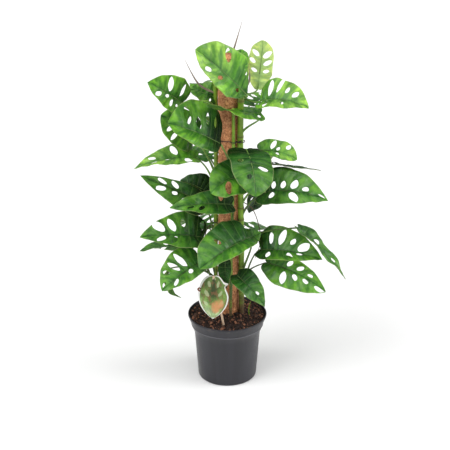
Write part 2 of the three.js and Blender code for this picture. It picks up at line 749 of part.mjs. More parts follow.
function soil(standing) {
  const { top, mound, lump, gap, rings, sides } = SOIL;
  const inside = potInside();
  const [wallTop, rim] = [inside.at(-2), inside.at(-1)];
  const share = (top - wallTop[1]) / (rim[1] - wallTop[1]);
  const edge = THREE.MathUtils.lerp(wallTop[0], rim[0], share);
  const profile = [...inside.slice(0, -1), [edge, top]].map(([r, z], i) => [r - gap, i ? z : z + gap]);
  const geometry = new THREE.LatheGeometry(
    [
      [0, POT.floor + gap],
      ...profile,
      ...[...rings].reverse().map((r) => [r, top]),
      [0, top],
    ].map(([r, z]) => new THREE.Vector2(r, z)),
    sides,
  );
  geometry.rotateX(Math.PI / 2);
  const position = geometry.getAttribute("position");
  for (let i = 0; i < position.count; i++) {
    const [x, y, z] = [position.getX(i), position.getY(i), position.getZ(i)];
    if (z < top - 1 || Math.hypot(x, y) > rings.at(-1) + 1) continue;
    const middle = 1 - Math.min(Math.hypot(x - POLE.x, y) / rings.at(-1), 1);
    const lumps = Math.sin(x * 0.31 + 1) * Math.cos(y * 0.27) + 0.6 * Math.sin(x * 0.83 - y * 0.67);
    position.setZ(i, z + mound * middle + (lump / 1.6) * lumps);
  }
  let body = solid(geometry);
  for (const tool of standing) body = body.subtract(tool);
  return body;
}

// The plant

const plant = new THREE.Group();

const poleTool = turned(
  [
    [0, POT.floor],
    [POLE.radius + FIT_GAP, POT.floor],
    [POLE.radius + FIT_GAP, POLE.top + FIT_GAP],
    [0, POLE.top + FIT_GAP],
  ],
  POLE.sides,
  POLE.x,
);
const stemTools = Object.values(STEMS).map((row) => stem(row, FIT_GAP));
const stickTool = stick(FIT_GAP);

// What grows from a stem, cut to fit round the stems and the pole.
function seated(body) {
  const fitted = [poleTool, ...stemTools].reduce((left, tool) => left.subtract(tool), body);
  return largest(fitted);
}

plant.add(piece("pot", pot(), COLOURS.pot, ROUGHNESS.pot));
plant.add(piece("soil", soil([poleTool, ...stemTools, stickTool]), COLOURS.soil, ROUGHNESS.soil));
plant.add(piece("coir_sleeve", coirSleeve(), COLOURS.coir, 1));
plant.add(piece("pole_core", poleCore(), COLOURS.core));
for (const [name, row] of Object.entries(STEMS)) plant.add(piece(name, stem(row), COLOURS.stem));
for (const [name, row] of Object.entries(LEAVES)) {
  const colour = row.at > 500 ? COLOURS.youngLeaf : COLOURS.leaf;
  plant.add(piece(`leaf_${name}`, seated(leaf(row)), colour, ROUGHNESS.leaf));
}
for (const [name, row] of Object.entries(SPEARS)) {
  plant.add(piece(name, seated(spear(row)), COLOURS.spear));
}
for (const [name, row] of Object.entries(ROOTS)) {
  plant.add(piece(name, seated(aerialRoot(row)), COLOURS.root));
}
for (const [name, z] of Object.entries(TIES)) plant.add(piece(name, tie(z), COLOURS.tie));
plant.add(piece("label_card", labelCard().subtract(stickTool), COLOURS.card, 0.35));
plant.add(piece("label_stick", stick(), COLOURS.stick));

export default plant;
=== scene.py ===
# The finished surfaces of a potted climbing monstera: pot, soil, coir pole, stems, perforated leaves,
# new leaves, aerial roots, wire ties and care label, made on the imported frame. Lengths in the tables
# are millimetres, as in the CAD source, and each piece is scaled to metres when it is finished.
import math
import random

import bmesh
import bpy
from bpy.props import FloatProperty, FloatVectorProperty, IntProperty, PointerProperty
from mathutils import Matrix, Vector, noise
from mathutils.geometry import interpolate_bezier


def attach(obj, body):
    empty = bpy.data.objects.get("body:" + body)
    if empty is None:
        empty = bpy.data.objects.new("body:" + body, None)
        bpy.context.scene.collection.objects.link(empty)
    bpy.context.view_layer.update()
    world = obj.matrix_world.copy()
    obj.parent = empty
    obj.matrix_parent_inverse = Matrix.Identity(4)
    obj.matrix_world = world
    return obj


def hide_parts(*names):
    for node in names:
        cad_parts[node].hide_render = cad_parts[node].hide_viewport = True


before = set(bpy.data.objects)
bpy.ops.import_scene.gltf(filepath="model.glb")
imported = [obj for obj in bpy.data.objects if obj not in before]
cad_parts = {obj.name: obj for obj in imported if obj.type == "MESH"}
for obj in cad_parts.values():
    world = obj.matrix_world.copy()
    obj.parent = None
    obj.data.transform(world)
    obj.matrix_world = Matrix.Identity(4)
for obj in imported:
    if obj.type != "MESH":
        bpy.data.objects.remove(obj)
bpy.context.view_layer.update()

bl_info = {
    "name": "Potted Climbing Monstera",
    "version": (1, 0, 0),
    "blender": (4, 5, 0),
    "location": "View3D > Sidebar > Monstera",
    "description": "Builds the finished surfaces of a potted climbing monstera on its CAD frame",
    "category": "Object",
}

MM = 0.001
FULL_TURN = 2 * math.pi
UP = Vector((0, 0, 1))

# Sizes shared with the CAD source

POT = dict(
    rim_radius=85, height=147.5, rim_ease=0.7, bead_radius=78.2, bead_height=124, bead_depth=1.5,
    body_top_radius=71, body_top_height=106, foot_radius=63.5, foot_rounding=4, wall=1.6, floor=3, lip=2.2,
    drain_count=6, drain_radius=5, drain_circle=44,
)
SOIL = dict(top=143, mound=15, gap=0.5, level_radius=68)
POLE = dict(x=3, radius=22.5, bottom=8, top=722, crown=3, cap=6, bore=11.3)
FIT_GAP = 0.3

STEM_FOOT = 20
STEMS = {
    "stem_right": dict(bearing=-28, wind=8, radius=6, top=668),
    "stem_front": dict(bearing=-75, wind=-6, radius=3.2, top=620),
    "stem_left": dict(bearing=172, wind=10, radius=4.4, top=662),
    "stem_back": dict(bearing=88, wind=-14, radius=4.6, top=706),
}

# The blade's outline in vein places: a vein leaves the midrib at VEIN_FOOT and meets the margin at
# MARGIN_ALONG, as shares of the blade's length, MARGIN_OUT of its width to the side.
VEIN_FOOT = (0, 0.03, 0.12, 0.24, 0.38, 0.54, 0.73, 1)
MARGIN_ALONG = (0, -0.05, 0.08, 0.27, 0.48, 0.68, 0.86, 1)
MARGIN_OUT = (0, 0.24, 0.44, 0.5, 0.43, 0.3, 0.14, 0)
PANELS = len(VEIN_FOOT) - 1
VEIN_SWEEP = 1.3

# A blunt leaf's outline swells towards the middle of this many panels.
SWELL_SPAN = 8.2

# A window's reach between midrib and margin, and its half width as a share of the panel.
WINDOWS = {
    "n": dict(start=0.12, end=0.44, half=0.24),
    "s": dict(start=0.34, end=0.66, half=0.2),
    "m": dict(start=0.26, end=0.76, half=0.22),
    "l": dict(start=0.2, end=0.86, half=0.28),
    "x": dict(start=0.14, end=0.9, half=0.34),
    "b": dict(start=0.12, end=0.56, half=0.3),
    "o": dict(start=0.55, end=0.86, half=0.22),
    "h": dict(start=0.42, end=0.92, half=0.26),
    "e": dict(start=0.56, end=0.96, half=0.24),
    "u": dict(start=0.34, end=1, half=0.22, open=True),
    "w": dict(start=0.3, end=1, half=0.34, open=True),
}
WHOLE = "....... ......."

# What a leaf's row may leave out: lop widens one half, round blunts the outline, taper narrows the
# foot, sweep draws the margin forward, arch and bend bow the midrib up and aside, fold lifts the
# halves, curl turns their margins, twist turns the tip, and wave ruffles the margin.
LEAF_SHAPE = dict(
    lop=0, round=0.2, taper=0, sweep=0, arch=0.08, bend=0, fold=20, curl=-12, twist=0, wave=2.5,
)


def leaf(stem, at, base, tip, width, face, windows, tint, dark=0.4, **shape):
    """One leaf: its stem and the height it leaves it, its blade's ends, width and way it faces, its
    windows along each half, and its tint and how much painted shade darkens it towards its foot."""
    return LEAF_SHAPE | shape | dict(
        stem=stem, at=at, base=base, tip=tip, width=width, face=face, windows=windows.split(), tint=tint,
        dark=dark,
    )


# The leaves, as in the CAD source. A tint of -1 is blackish, 0 deep green, 1 yellow green, and 2 pale
# with the light behind it: below 0 the tint is painted shade, above 1 painted light shining through.
LEAVES = {
    "top_front": leaf(
        "stem_right", 634, (39, -45, 653), (-61, -85, 758), 99, (0.6, -0.67, 0.4), "..e.h.. ..n.so.", 1.3,
        dark=1.5, lop=0.07, round=0.7, taper=0.98, sweep=0.1, arch=0.04,
    ),
    "upright": leaf(
        "stem_right", 632, (62, 10, 652), (71, 5, 751), 50, (0.1, 0.95, -0.1), "...mhl. ...mlx.", 1.9,
        dark=0, round=1, taper=0.98, arch=0.05, fold=8,
    ),
    "upper_right": leaf(
        "stem_back", 612, (67, -22, 634), (161, -62, 632), 78, (-0.15, -0.47, 0.87), ".ml.s.. ..xusm.",
        1.25, dark=0.2, lop=-0.22, round=0.4, arch=0.13,
    ),
    "upper_left": leaf(
        "stem_left", 560, (-90, -18, 628), (-157, -48, 680), 76, (0.45, -0.78, 0.4), "..l.x.. ..smnl.",
        0.9, dark=0.7, lop=0.1, round=0.45,
    ),
    "left_cup": leaf(
        "stem_front", 470, (-13, -44, 550), (-116, -96, 613), 106, (0.5, -0.6, 0.62), "..ssnl. .......",
        0.75, dark=1.7, lop=0.3, round=0.7, taper=0.2, sweep=0.12, arch=0.06,
    ),
    "left_behind": leaf(
        "stem_left", 460, (-66, 10, 548), (-134, -10, 600), 84, (0.5, -0.78, 0.4), "..mm... ....hm.", 0.6,
        dark=0.5, lop=-0.15, round=0.8, sweep=0.06,
    ),
    "left_long": leaf(
        "stem_left", 430, (-62, -24, 512), (-188, -60, 503), 72, (-0.05, -0.25, 0.97), "...l.m. ..x.ns.",
        1.25, lop=0.04, round=0,
    ),
    "pole_cross": leaf(
        "stem_right", 558, (67, -30, 610), (-48, -62, 646), 70, (0.25, -0.2, 0.94), "....... .s.....",
        1.05, dark=0.3, lop=0.1, arch=-0.06, fold=2, twist=50,
    ),
    "left_top_small": leaf(
        "stem_back", 575, (-23, 12, 629), (-78, 20, 645), 52, (0.12, -0.67, 0.73), "..sm... ..ss...", 0.5,
    ),
    "centre_left": leaf(
        "stem_right", 400, (54, -50, 472), (-33, -115, 473), 94, (0.2, -0.5, 0.84), "....... .....x.",
        0.6, dark=0.2, lop=-0.1, round=0.8, sweep=0.05, arch=0.14, bend=0.1,
    ),
    "centre_round": leaf(
        "stem_front", 430, (38, -44, 539), (56, -140, 475), 90, (0.25, -0.5, 0.82), "...s.n. ....m..",
        0.3, dark=1.1, round=0.8, arch=0.12, fold=4,
    ),
    "right_shoulder": leaf(
        "stem_back", 440, (63, -2, 522), (143, -12, 505), 42, (0.14, -0.65, 0.75), "....n.. ...xnh.",
        1.25, lop=-0.2, round=1, taper=0.4, arch=0, bend=-0.08,
    ),
    "right_edge": leaf(
        "stem_right", 445, (71, 8, 488), (191, -26, 485), 50, (0.09, 0.28, 0.96), "..s.s.. ..s.s..", -0.5,
        arch=0.02, fold=6,
    ),
    "right_wide": leaf(
        "stem_right", 374, (71, -30, 438), (204, -70, 437), 90, (-0.18, -0.6, 0.78), "..b.x.. ..nnbns",
        0.4, dark=0.9, lop=-0.14, arch=0.1, bend=-0.04,
    ),
    "right_dark": leaf(
        "stem_back", 372, (58, 22, 424), (50, 60, 356), 52, (0.5, -0.7, -0.2), "..s.... .......", -0.3,
    ),
    "left_mid": leaf(
        "stem_left", 320, (-48, -14, 409), (-176, -50, 485), 60, (0.46, -0.79, 0.41), "....ll. ...mnl.",
        0.35, dark=2, lop=-0.25, arch=0.04,
    ),
    "left_mid_low": leaf(
        "stem_front", 374, (8, -48, 420), (-117, -85, 428), 56, (0.24, -0.62, 0.75), "..l.... ....mm.",
        0.5, dark=1,
    ),
    "left_mid_back": leaf(
        "stem_back", 350, (-42, 16, 422), (-99, 40, 439), 62, (-0.07, -0.66, 0.75), WHOLE, -0.3, arch=0.1,
    ),
    "left_low": leaf(
        "stem_left", 235, (-50, -16, 332), (-181, -55, 350), 88, (0.29, -0.57, 0.77), ".h.slw. ....ll.",
        0.55, dark=0.9, lop=0.18, fold=22,
    ),
    "left_low_back": leaf(
        "stem_left", 200, (-76, 34, 280), (-188, 22, 283), 66, (0.03, 0.02, 1), "..m.m.. ....u..", 0.2,
    ),
    "left_bottom": leaf(
        "stem_left", 180, (-55, -40, 286), (-135, -95, 246), 82, (-0.05, -0.54, 0.84), "...xlos ...b.l.",
        0.5, lop=0.25, round=0.5,
    ),
    "left_curl": leaf(
        "stem_left", 222, (-124, 6, 246), (-100, 0, 180), 24, (-0.8, 0.3, -0.3), WHOLE, 0.4, arch=0.22,
        fold=30,
    ),
    "centre_low": leaf(
        "stem_right", 240, (43, -56, 349), (-56, -120, 308), 84, (0, -0.54, 0.84), "....s.. .......", 0.5,
        dark=0, lop=0.3, round=0.7,
    ),
    "small_lobe": leaf(
        "stem_right", 265, (39, -8, 322), (70, -20, 344), 38, (0.1, -0.85, 0.5), WHOLE, 1.1, dark=0,
        round=0.7,
    ),
    "right_low": leaf(
        "stem_right", 205, (69, -22, 307), (197, -65, 303), 84, (-0.2, -0.56, 0.81), "..m.mn. ..mlsx.",
        0.55, dark=0.8, lop=-0.24, arch=0.1, fold=24,
    ),
    "right_twist": leaf(
        "stem_back", 260, (146, -48, 368), (243, -110, 281), 48, (0.58, -0.12, 0.81), "....... ...b.s.",
        0.35, lop=-0.15, round=0, arch=0.02, bend=-0.02, wave=4,
    ),
    "right_bottom": leaf(
        "stem_back", 180, (84, -22, 276), (206, -70, 231), 70, (0.05, -0.85, 0.52), "...lnnx ...mms.",
        0.65, lop=0.2, round=0.4, taper=0.7, arch=0.06, bend=-0.05, fold=14,
    ),
    "front_low": leaf(
        "stem_front", 190, (20, -54, 263), (78, -98, 211), 56, (0.19, -0.64, 0.75), "....... .....n.",
        0.3, dark=0.5, lop=-0.04,
    ),
    "narrow_low": leaf(
        "stem_front", 225, (-4, -42, 292), (-2, -62, 234), 30, (-0.3, -0.9, 0.3), WHOLE, 0.25,
    ),
    "back_top_left": leaf(
        "stem_back", 540, (-26, 70, 612), (-64, 178, 600), 80, (-0.2, 0.3, 0.93), "..mml.. .mllm..", 0.7,
        arch=0.12,
    ),
    "back_top_right": leaf(
        "stem_back", 520, (46, 62, 596), (112, 148, 566), 78, (0.3, 0.4, 0.86), ".mll... ..lmm..", 0.65,
        arch=0.14,
    ),
    "back_high": leaf(
        "stem_back", 600, (8, 66, 656), (30, 150, 690), 66, (0, -0.3, 0.95), "..mm... ..ml...", 0.8,
        arch=0.1,
    ),
    "back_mid_left": leaf(
        "stem_back", 400, (-34, 68, 474), (-98, 158, 456), 84, (-0.3, 0.4, 0.86), ".mlm... ..llm..", 0.4,
        arch=0.13,
    ),
    "back_mid_right": leaf(
        "stem_back", 385, (40, 72, 462), (92, 172, 430), 84, (0.2, 0.5, 0.84), "..lll.. .mml...", 0.45,
        arch=0.14,
    ),
    "back_centre": leaf(
        "stem_back", 462, (-6, 76, 530), (-22, 172, 522), 82, (0.1, 0.3, 0.95), ".llm... ..mls..", 0.5,
        arch=0.12,
    ),
    "back_centre_low": leaf(
        "stem_back", 310, (6, 78, 384), (24, 170, 366), 84, (-0.1, 0.35, 0.93), "..lml.. .mls...", 0.35,
        arch=0.13,
    ),
    "back_low_left": leaf(
        "stem_back", 245, (-38, 66, 316), (-104, 150, 286), 86, (-0.3, 0.5, 0.8), ".mll... ..lml..", 0.3,
        arch=0.14,
    ),
    "back_low_right": leaf(
        "stem_back", 225, (40, 66, 300), (112, 146, 262), 86, (0.35, 0.5, 0.8), "..llm.. .mlm...", 0.35,
        arch=0.14,
    ),
}
YOUNG = {
    "top_front", "upright", "upper_right", "upper_left", "left_cup", "left_behind", "left_long",
    "pole_cross", "left_top_small", "centre_left", "centre_round", "back_top_left", "back_top_right",
    "back_high",
}

# A leaf's stalk narrows from its foot to its neck and thickens again at the knee, below the blade.
# It runs on as a rib, sunk into the underside up to a vein.
STALK = dict(
    foot_radius=2.9, neck_radius=1.6, narrows=1.4, knee_radius=2, knee_at=0.93, knee_reach=0.05,
    sunk=0.6, rib_vein=6.4, rib_taper=0.78, rings=26, rib_rings=18, flat=0.9,
)

SPEARS = {
    "spear_top": dict(stem="stem_back", at=690, bend=(14, 30, 728), tip=(30, 24, 786)),
    "spear_left": dict(stem="stem_left", at=640, bend=(-58, 2, 662), tip=(-85, -2, 714)),
    "spear_right": dict(stem="stem_right", at=645, bend=(44, -10, 672), tip=(42, -8, 706)),
}
ROOTS = {
    "root_right": dict(
        stem="stem_right", at=415, path=((52, -4, 392), (66, 2, 352), (70, 8, 310), (58, 14, 266)),
    ),
    "root_left": dict(
        stem="stem_left", at=350, path=((-38, 14, 346), (-46, 18, 326), (-48, 18, 300), (-40, 20, 270)),
    ),
}
TIE = dict(radius=1.1, slack=1.6)
TIES = {"tie_upper": 547, "tie_lower": 360}
LABEL = dict(width=66, height=94, thickness=0.8, centre=(-29, -74, 222), lean=14, turn=-6)

# The right half of the card's outline: its tip, then the handles and ends of two curves.
LABEL_EDGE = ((0, -0.5), (0.3, -0.4), (0.56, -0.16), (0.48, 0.14), (0.42, 0.42), (0.16, 0.52), (0, 0.46))
STICK = dict(width=4.5, thickness=1.6, point=6.8, foot=(-1.3, -56, 112), head=(-29, -64, 266))


# Shapes shared by several pieces

def held(value, low=0, high=1):
    """A value kept between two others."""
    return min(max(value, low), high)


def hump(distance, reach):
    """1 at no distance, and less the further away."""
    return math.exp(-((distance / reach) ** 2))


def heading(bearing):
    """The level direction on a bearing."""
    return Vector((math.cos(bearing), math.sin(bearing), 0))


def left_of(way):
    """The level direction a quarter turn on."""
    return Vector((-way.y, way.x, 0))


def along(table, place):
    """The value of a table at a fractional place, on a smooth curve through its entries."""
    i = min(int(place), len(table) - 2)
    t = place - i
    a, b, c, d = (table[held(k, 0, len(table) - 1)] for k in (i - 1, i, i + 1, i + 2))
    return b + 0.5 * t * (c - a + t * (2 * a - 5 * b + 4 * c - d + t * (3 * (b - c) + d - a)))


def smooth_path(points, count):
    """Evenly numbered points on a smooth curve through a few."""
    places = [k * (len(points) - 1) / (count - 1) for k in range(count)]
    return [Vector([along([p[axis] for p in points], place) for axis in range(3)]) for place in places]


def lumps(point, scale, octaves=3):
    """Soft noise between about -1 and 1 at a scale in millimetres."""
    return sum(noise.noise(point / scale * 2 ** octave) / 2 ** octave for octave in range(octaves))


def as_mesh(bm, name):
    """A finished bmesh as a mesh to copy from."""
    mesh = bpy.data.meshes.new(name)
    bm.to_mesh(mesh)
    bm.free()
    return mesh


def joined(*meshes):
    """Meshes together in a new bmesh."""
    bm = bmesh.new()
    for mesh in meshes:
        bm.from_mesh(mesh)
    return bm


def in_scene(name, data):
    """An object of its own in the scene."""
    thing = bpy.data.objects.new(name, data)
    bpy.context.scene.collection.objects.link(thing)
    return thing


def rod(points, radii, sides=8, flat=1.0, material=0):
    """A closed rod through points, from a cylinder whose rings are laid along the path."""
    last = len(points) - 1
    bm = bmesh.new()
    bmesh.ops.create_cone(bm, cap_ends=True, segments=sides, radius1=1, radius2=1, depth=1)
    upright = [edge for edge in bm.edges if abs(edge.verts[0].co.z - edge.verts[1].co.z) > 0.5]
    bmesh.ops.subdivide_edges(bm, edges=upright, cuts=last - 1)
    ahead = [(points[min(k + 1, last)] - points[max(k - 1, 0)]).normalized() for k in range(last + 1)]
    across = [ahead[0].orthogonal().normalized()]
    for way in ahead[1:]:
        across.append((across[-1] - way * across[-1].dot(way)).normalized())
    for vert in bm.verts:
        k = held(round((vert.co.z + 0.5) * last), 0, last)
        side = ahead[k].cross(across[k])
        vert.co = points[k] + radii[k] * (across[k] * vert.co.x + side * vert.co.y * flat)
    for face in bm.faces:
        face.material_index = material
    return as_mesh(bm, "rod")


def spun(profile, steps, centre_x=0):
    """A solid turned about the vertical from (radius, height) pairs, both ends on the axis or joined."""
    bm = bmesh.new()
    verts = [bm.verts.new((centre_x + r, 0, z)) for r, z in profile]
    pairs = list(zip(verts, verts[1:]))
    if profile[0][0] > 0:
        pairs.append((verts[-1], verts[0]))
    edges = [bm.edges.new(pair) for pair in pairs]
    bmesh.ops.spin(
        bm, geom=verts + edges, cent=(centre_x, 0, 0), axis=UP, angle=FULL_TURN, steps=steps,
        use_merge=True, use_duplicate=False,
    )
    bmesh.ops.remove_doubles(bm, verts=bm.verts, dist=1e-4)
    bmesh.ops.recalc_face_normals(bm, faces=bm.faces)
    return bm


def scatter(template, count, place):
    """Copies of a small mesh in one, each vertex moved by place(copy number, position)."""
    bm = joined(*[template] * count)
    corners = len(template.vertices)
    for k, vert in enumerate(bm.verts):
        vert.co = place(k // corners, vert.co.copy())
    return bm


def thicken(bm, thickness):
    """Gives a sheet its thickness. The sheet keeps the first material, the rest gets the second."""
    sheet = list(bm.faces)
    bmesh.ops.solidify(bm, geom=sheet, thickness=thickness)
    for face in bm.faces:
        face.material_index = 1
    for face in sheet:
        face.material_index = 0


def finish_piece(bm, name, materials, replaces=(), smooth=True):
    """Scales a bmesh from millimetres to metres and makes it a piece on the frame's body."""
    bmesh.ops.scale(bm, vec=(MM, MM, MM), verts=bm.verts)
    mesh = as_mesh(bm, name)
    if smooth:
        mesh.shade_smooth()
    else:
        mesh.shade_flat()
    for material in materials:
        mesh.materials.append(material)
    piece = in_scene(name, mesh)
    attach(piece, "root")
    if replaces:
        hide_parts(*replaces)
    return piece


def stem_centre(row, z):
    """The centre of a stem at a height: it winds round the pole, just clear of it."""
    turn = math.radians(row["bearing"] + row["wind"] * math.sin(z / POLE["top"] * FULL_TURN))
    out = POLE["radius"] + row["radius"] + 2 * FIT_GAP
    return Vector((POLE["x"] + out * math.cos(turn), out * math.sin(turn), z))


# Shader building

def toned(colour, strength=1.0):
    """A colour made darker or lighter, with full opacity."""
    return (*(min(part * strength, 1) for part in colour[:3]), 1.0)


class Signal:
    """What a shader node puts out. Each step of arithmetic with it adds a Math node."""

    def __init__(self, paint, socket):
        self.paint = paint
        self.socket = socket

    def math(self, operation, other=0.5, clamp=False):
        """The result of a Math node."""
        return self.paint.out("Math", {0: self, 1: other}, operation=operation, use_clamp=clamp)

    def __add__(self, other):
        return self.math("ADD", other)

    def __sub__(self, other):
        return self.math("SUBTRACT", other)

    def __mul__(self, other):
        return self.math("MULTIPLY", other)

    def __truediv__(self, other):
        return self.math("DIVIDE", other)

    def __abs__(self):
        return self.math("ABSOLUTE")


class Paint:
    """A node tree, with a word for each kind of shader node that the finishes use."""

    def __init__(self, tree):
        self.tree = tree

    def feed(self, socket, value):
        """Links a signal to a socket, or sets the socket's own value."""
        if isinstance(value, Signal):
            self.tree.links.new(value.socket, socket)
        else:
            socket.default_value = value

    def node(self, kind, inputs, **settings):
        """A new node with its settings and inputs."""
        node = self.tree.nodes.new("ShaderNode" + kind)
        for key, value in settings.items():
            setattr(node, key, value)
        for key, value in inputs.items():
            self.feed(node.inputs[key], value)
        return node

    def out(self, kind, inputs, output=0, **settings):
        """One output of a new node."""
        return Signal(self, self.node(kind, inputs, **settings).outputs[output])

    def group(self, tree, inputs):
        """All that a node group puts out with the inputs given here."""
        return [Signal(self, socket) for socket in self.node("Group", inputs, node_tree=tree).outputs]

    def object_place(self):
        """The Object coordinates."""
        return self.out("TexCoord", {}, "Object")

    def axis(self, vector, name):
        """One part of a vector: X, Y or Z."""
        return self.out("SeparateXYZ", {0: vector}, name)

    def drawn_out(self, vector, share):
        """Coordinates that draw a pattern out up and down."""
        return self.out("Mapping", {"Vector": vector, "Scale": (1, 1, share)})

    def attribute(self, name):
        """A value stored in the mesh."""
        return self.out("Attribute", {}, "Fac", attribute_name=name)

    def noise(self, vector, scale, detail):
        """Noise between 0 and 1."""
        return self.out("TexNoise", {"Vector": vector, "Scale": scale, "Detail": detail}, "Fac")

    def ramp(self, value, low, high, to_low=0, to_high=1):
        """A value mapped from one range to another, held at the ends."""
        inputs = {"Value": value, "From Min": low, "From Max": high, "To Min": to_low, "To Max": to_high}
        return self.out("MapRange", inputs, interpolation_type="SMOOTHSTEP")

    def blend(self, share, a, b, mode="MIX"):
        """A colour between two others."""
        return self.out("Mix", {0: share, 6: a, 7: b}, 2, data_type="RGBA", blend_type=mode)

    def times(self, a, b):
        """One colour multiplied by another."""
        return self.blend(1, a, b, "MULTIPLY")

    def mottle(self, vector, scale, fine, dark, light, share=0.4):
        """The colour and the value of the Mottle group."""
        return self.group(bpy.data.node_groups.get("Mottle") or mottle_group(), {
            "Vector": vector, "Scale": scale, "Fine Scale": fine, "Fine Share": share, "Dark": dark,
            "Light": light,
        })

    def bump(self, height, strength, depth):
        """A normal from a height, with its depth in metres."""
        return self.out("Bump", {"Strength": strength, "Distance": depth, "Height": height})


class Pattern(Paint):
    """A new node group, with each input's kind and default by its name."""

    def __init__(self, name, inputs):
        super().__init__(bpy.data.node_groups.new(name, "ShaderNodeTree"))
        for label, (kind, default) in inputs.items():
            socket = self.tree.interface.new_socket(label, in_out="INPUT", socket_type="NodeSocket" + kind)
            socket.default_value = default
        start = self.tree.nodes.new("NodeGroupInput")
        self.given = {label: Signal(self, start.outputs[label]) for label in inputs}

    def close(self, results):
        """Makes the group's outputs from the kind and the signal of each, and hands over the group."""
        for label, (kind, _) in results.items():
            self.tree.interface.new_socket(label, in_out="OUTPUT", socket_type="NodeSocket" + kind)
        end = self.tree.nodes.new("NodeGroupOutput")
        for label, (_, signal) in results.items():
            self.feed(end.inputs[label], signal)
        return self.tree


class Finish(Paint):
    """A new material, with plain values of its Principled shader."""

    def __init__(self, name, **plain):
        self.material = bpy.data.materials.new(name)
        self.material.use_nodes = True
        super().__init__(self.material.node_tree)
        self.shader = self.tree.nodes["Principled BSDF"]
        self.give(**plain)

    def give(self, **looks):
        """Feeds inputs of the Principled shader, such as base_color."""
        for label, value in looks.items():
            self.feed(self.shader.inputs[label.replace("_", " ").title().replace("Ior", "IOR")], value)
        return self.material


def mottle_group():
    """Uneven growth, dust or moulding: two scales of noise as a colour between two others and a value."""
    group = Pattern("Mottle", {
        "Vector": ("Vector", (0, 0, 0)), "Scale": ("Float", 30), "Fine Scale": ("Float", 200),
        "Fine Share": ("Float", 0.4), "Dark": ("Color", (0, 0, 0, 1)), "Light": ("Color", (1, 1, 1, 1)),
    })
    given = group.given
    broad = group.noise(given["Vector"], given["Scale"], detail=3)
    fine = group.noise(given["Vector"], given["Fine Scale"], detail=2)
    both = group.out("Mix", {0: given["Fine Share"], 2: broad, 3: fine}, data_type="FLOAT")
    value = group.ramp(both, 0.34, 0.66)
    colour = group.blend(value, given["Dark"], given["Light"])
    return group.close({"Color": ("Color", colour), "Value": ("Float", value)})


def vein_group():
    """Masks from a blade's own UV map: veins, midrib, net, margin, way out and streaks of painted
    highlight and shade.
    """
    group = Pattern("Vein Pattern", {
        "UV": ("Vector", (0, 0, 0)), "Vein Width": ("Float", 0.06), "Midrib Width": ("Float", 0.03),
    })
    run = group.axis(group.given["UV"], "X")
    row = run * PANELS
    signed = group.axis(group.given["UV"], "Y") * 2 - 1
    out = abs(signed)
    apart = abs((row + 0.5).math("FRACT") - 0.5)
    vein_width = group.given["Vein Width"] * group.ramp(out, 0, 1, 1.2, 0.35)
    midrib_width = group.given["Midrib Width"] * group.ramp(run, 0, 1, 1, 2.6)
    cells = group.out("CombineXYZ", {"X": row * 3.2, "Y": signed * 13})
    net = group.out("TexVoronoi", {"Vector": cells, "Scale": 1}, "Distance", feature="DISTANCE_TO_EDGE")
    high = group.axis(group.object_place(), "Z")
    # Places for the streaks of painted highlight and shade.
    growth = group.out("CombineXYZ", {"X": row * 2.3, "Y": signed * 1.3, "Z": high * 7})
    return group.close({
        "Veins": ("Float", group.ramp(apart / vein_width, 1, 0.25)),
        "Midrib": ("Float", group.ramp(out / midrib_width, 1, 0.35)),
        "Net": ("Float", group.ramp(net, 0.09, 0)),
        "Margin": ("Float", group.ramp(out, 0.955, 0.995)),
        "Outward": ("Float", out),
        "Stripe Light": ("Float", group.ramp(group.noise(growth, 1, detail=3), 0.36, 0.64)),
    })


def plain_finish(name, dark, light, scale, fine, dull, share=0.4, drawn=1):
    """An even finish: mottled between two colours, with a roughness in a range that follows it."""
    finish = Finish(name)
    place = finish.object_place()
    if drawn != 1:
        place = finish.drawn_out(place, drawn)
    colour, value = finish.mottle(place, scale, fine, dark, light, share)
    return finish.give(base_color=colour, roughness=finish.ramp(value, 0, 1, *dull))


# Settings

def a_colour(name, description, default):
    """A colour that a user can change."""
    return FloatVectorProperty(
        name=name, description=description, default=default, subtype="COLOR", size=3, min=0, max=1,
    )


def a_length(name, description, default, least, most):
    """A length in metres that a user can change."""
    return FloatProperty(
        name=name, description=description, default=default, subtype="DISTANCE", unit="LENGTH",
        min=least, max=most,
    )


def a_share(name, description, default, most=1):
    """A share that a user can change."""
    return FloatProperty(
        name=name, description=description, default=default, subtype="FACTOR", min=0, max=most,
    )


def a_strength(name, description, default, most):
    """A strength that a user can change."""
    return FloatProperty(name=name, description=description, default=default, min=0, max=most)


def a_count(name, description, default, least, most):
    """A number of things that a user can change."""
    return IntProperty(name=name, description=description, default=default, min=least, max=most)


class PotSettings(bpy.types.PropertyGroup):
    """The nursery pot."""

    colour: a_colour("Plastic", "Colour of the pot's plastic", (0.01, 0.01, 0.0145))
    roughness: a_share("Roughness", "How dull the plastic is", 0.36)
    steps: a_count("Steps", "Steps round the pot", 128, 24, 256)


class SoilSettings(bpy.types.PropertyGroup):
    """The bark and peat in the pot."""

    dark: a_colour("Peat", "Colour of the damp peat", (0.02, 0.0095, 0.0068))
    light: a_colour("Bark", "Colour of the driest bark", (0.32, 0.14, 0.08))
    chips: a_count("Chips", "Pieces of bark on the soil", 3000, 0, 5000)
    chip_size: a_length("Chip Size", "Usual length of a piece of bark", 0.0045, 0.001, 0.02)


class PoleSettings(bpy.types.PropertyGroup):
    """The coir pole."""

    light: a_colour("Coir", "Colour of dry coconut fibre", (1.0, 0.52, 0.26))
    dark: a_colour("Coir Shade", "Colour of the pits between the fibres", (0.43, 0.14, 0.056))
    depth: a_length("Depth", "Depth of the pits in the matted coir", 0.0022, 0, 0.005)
    fibres: a_count("Fibres", "Loose fibres on the pole", 2600, 0, 6000)


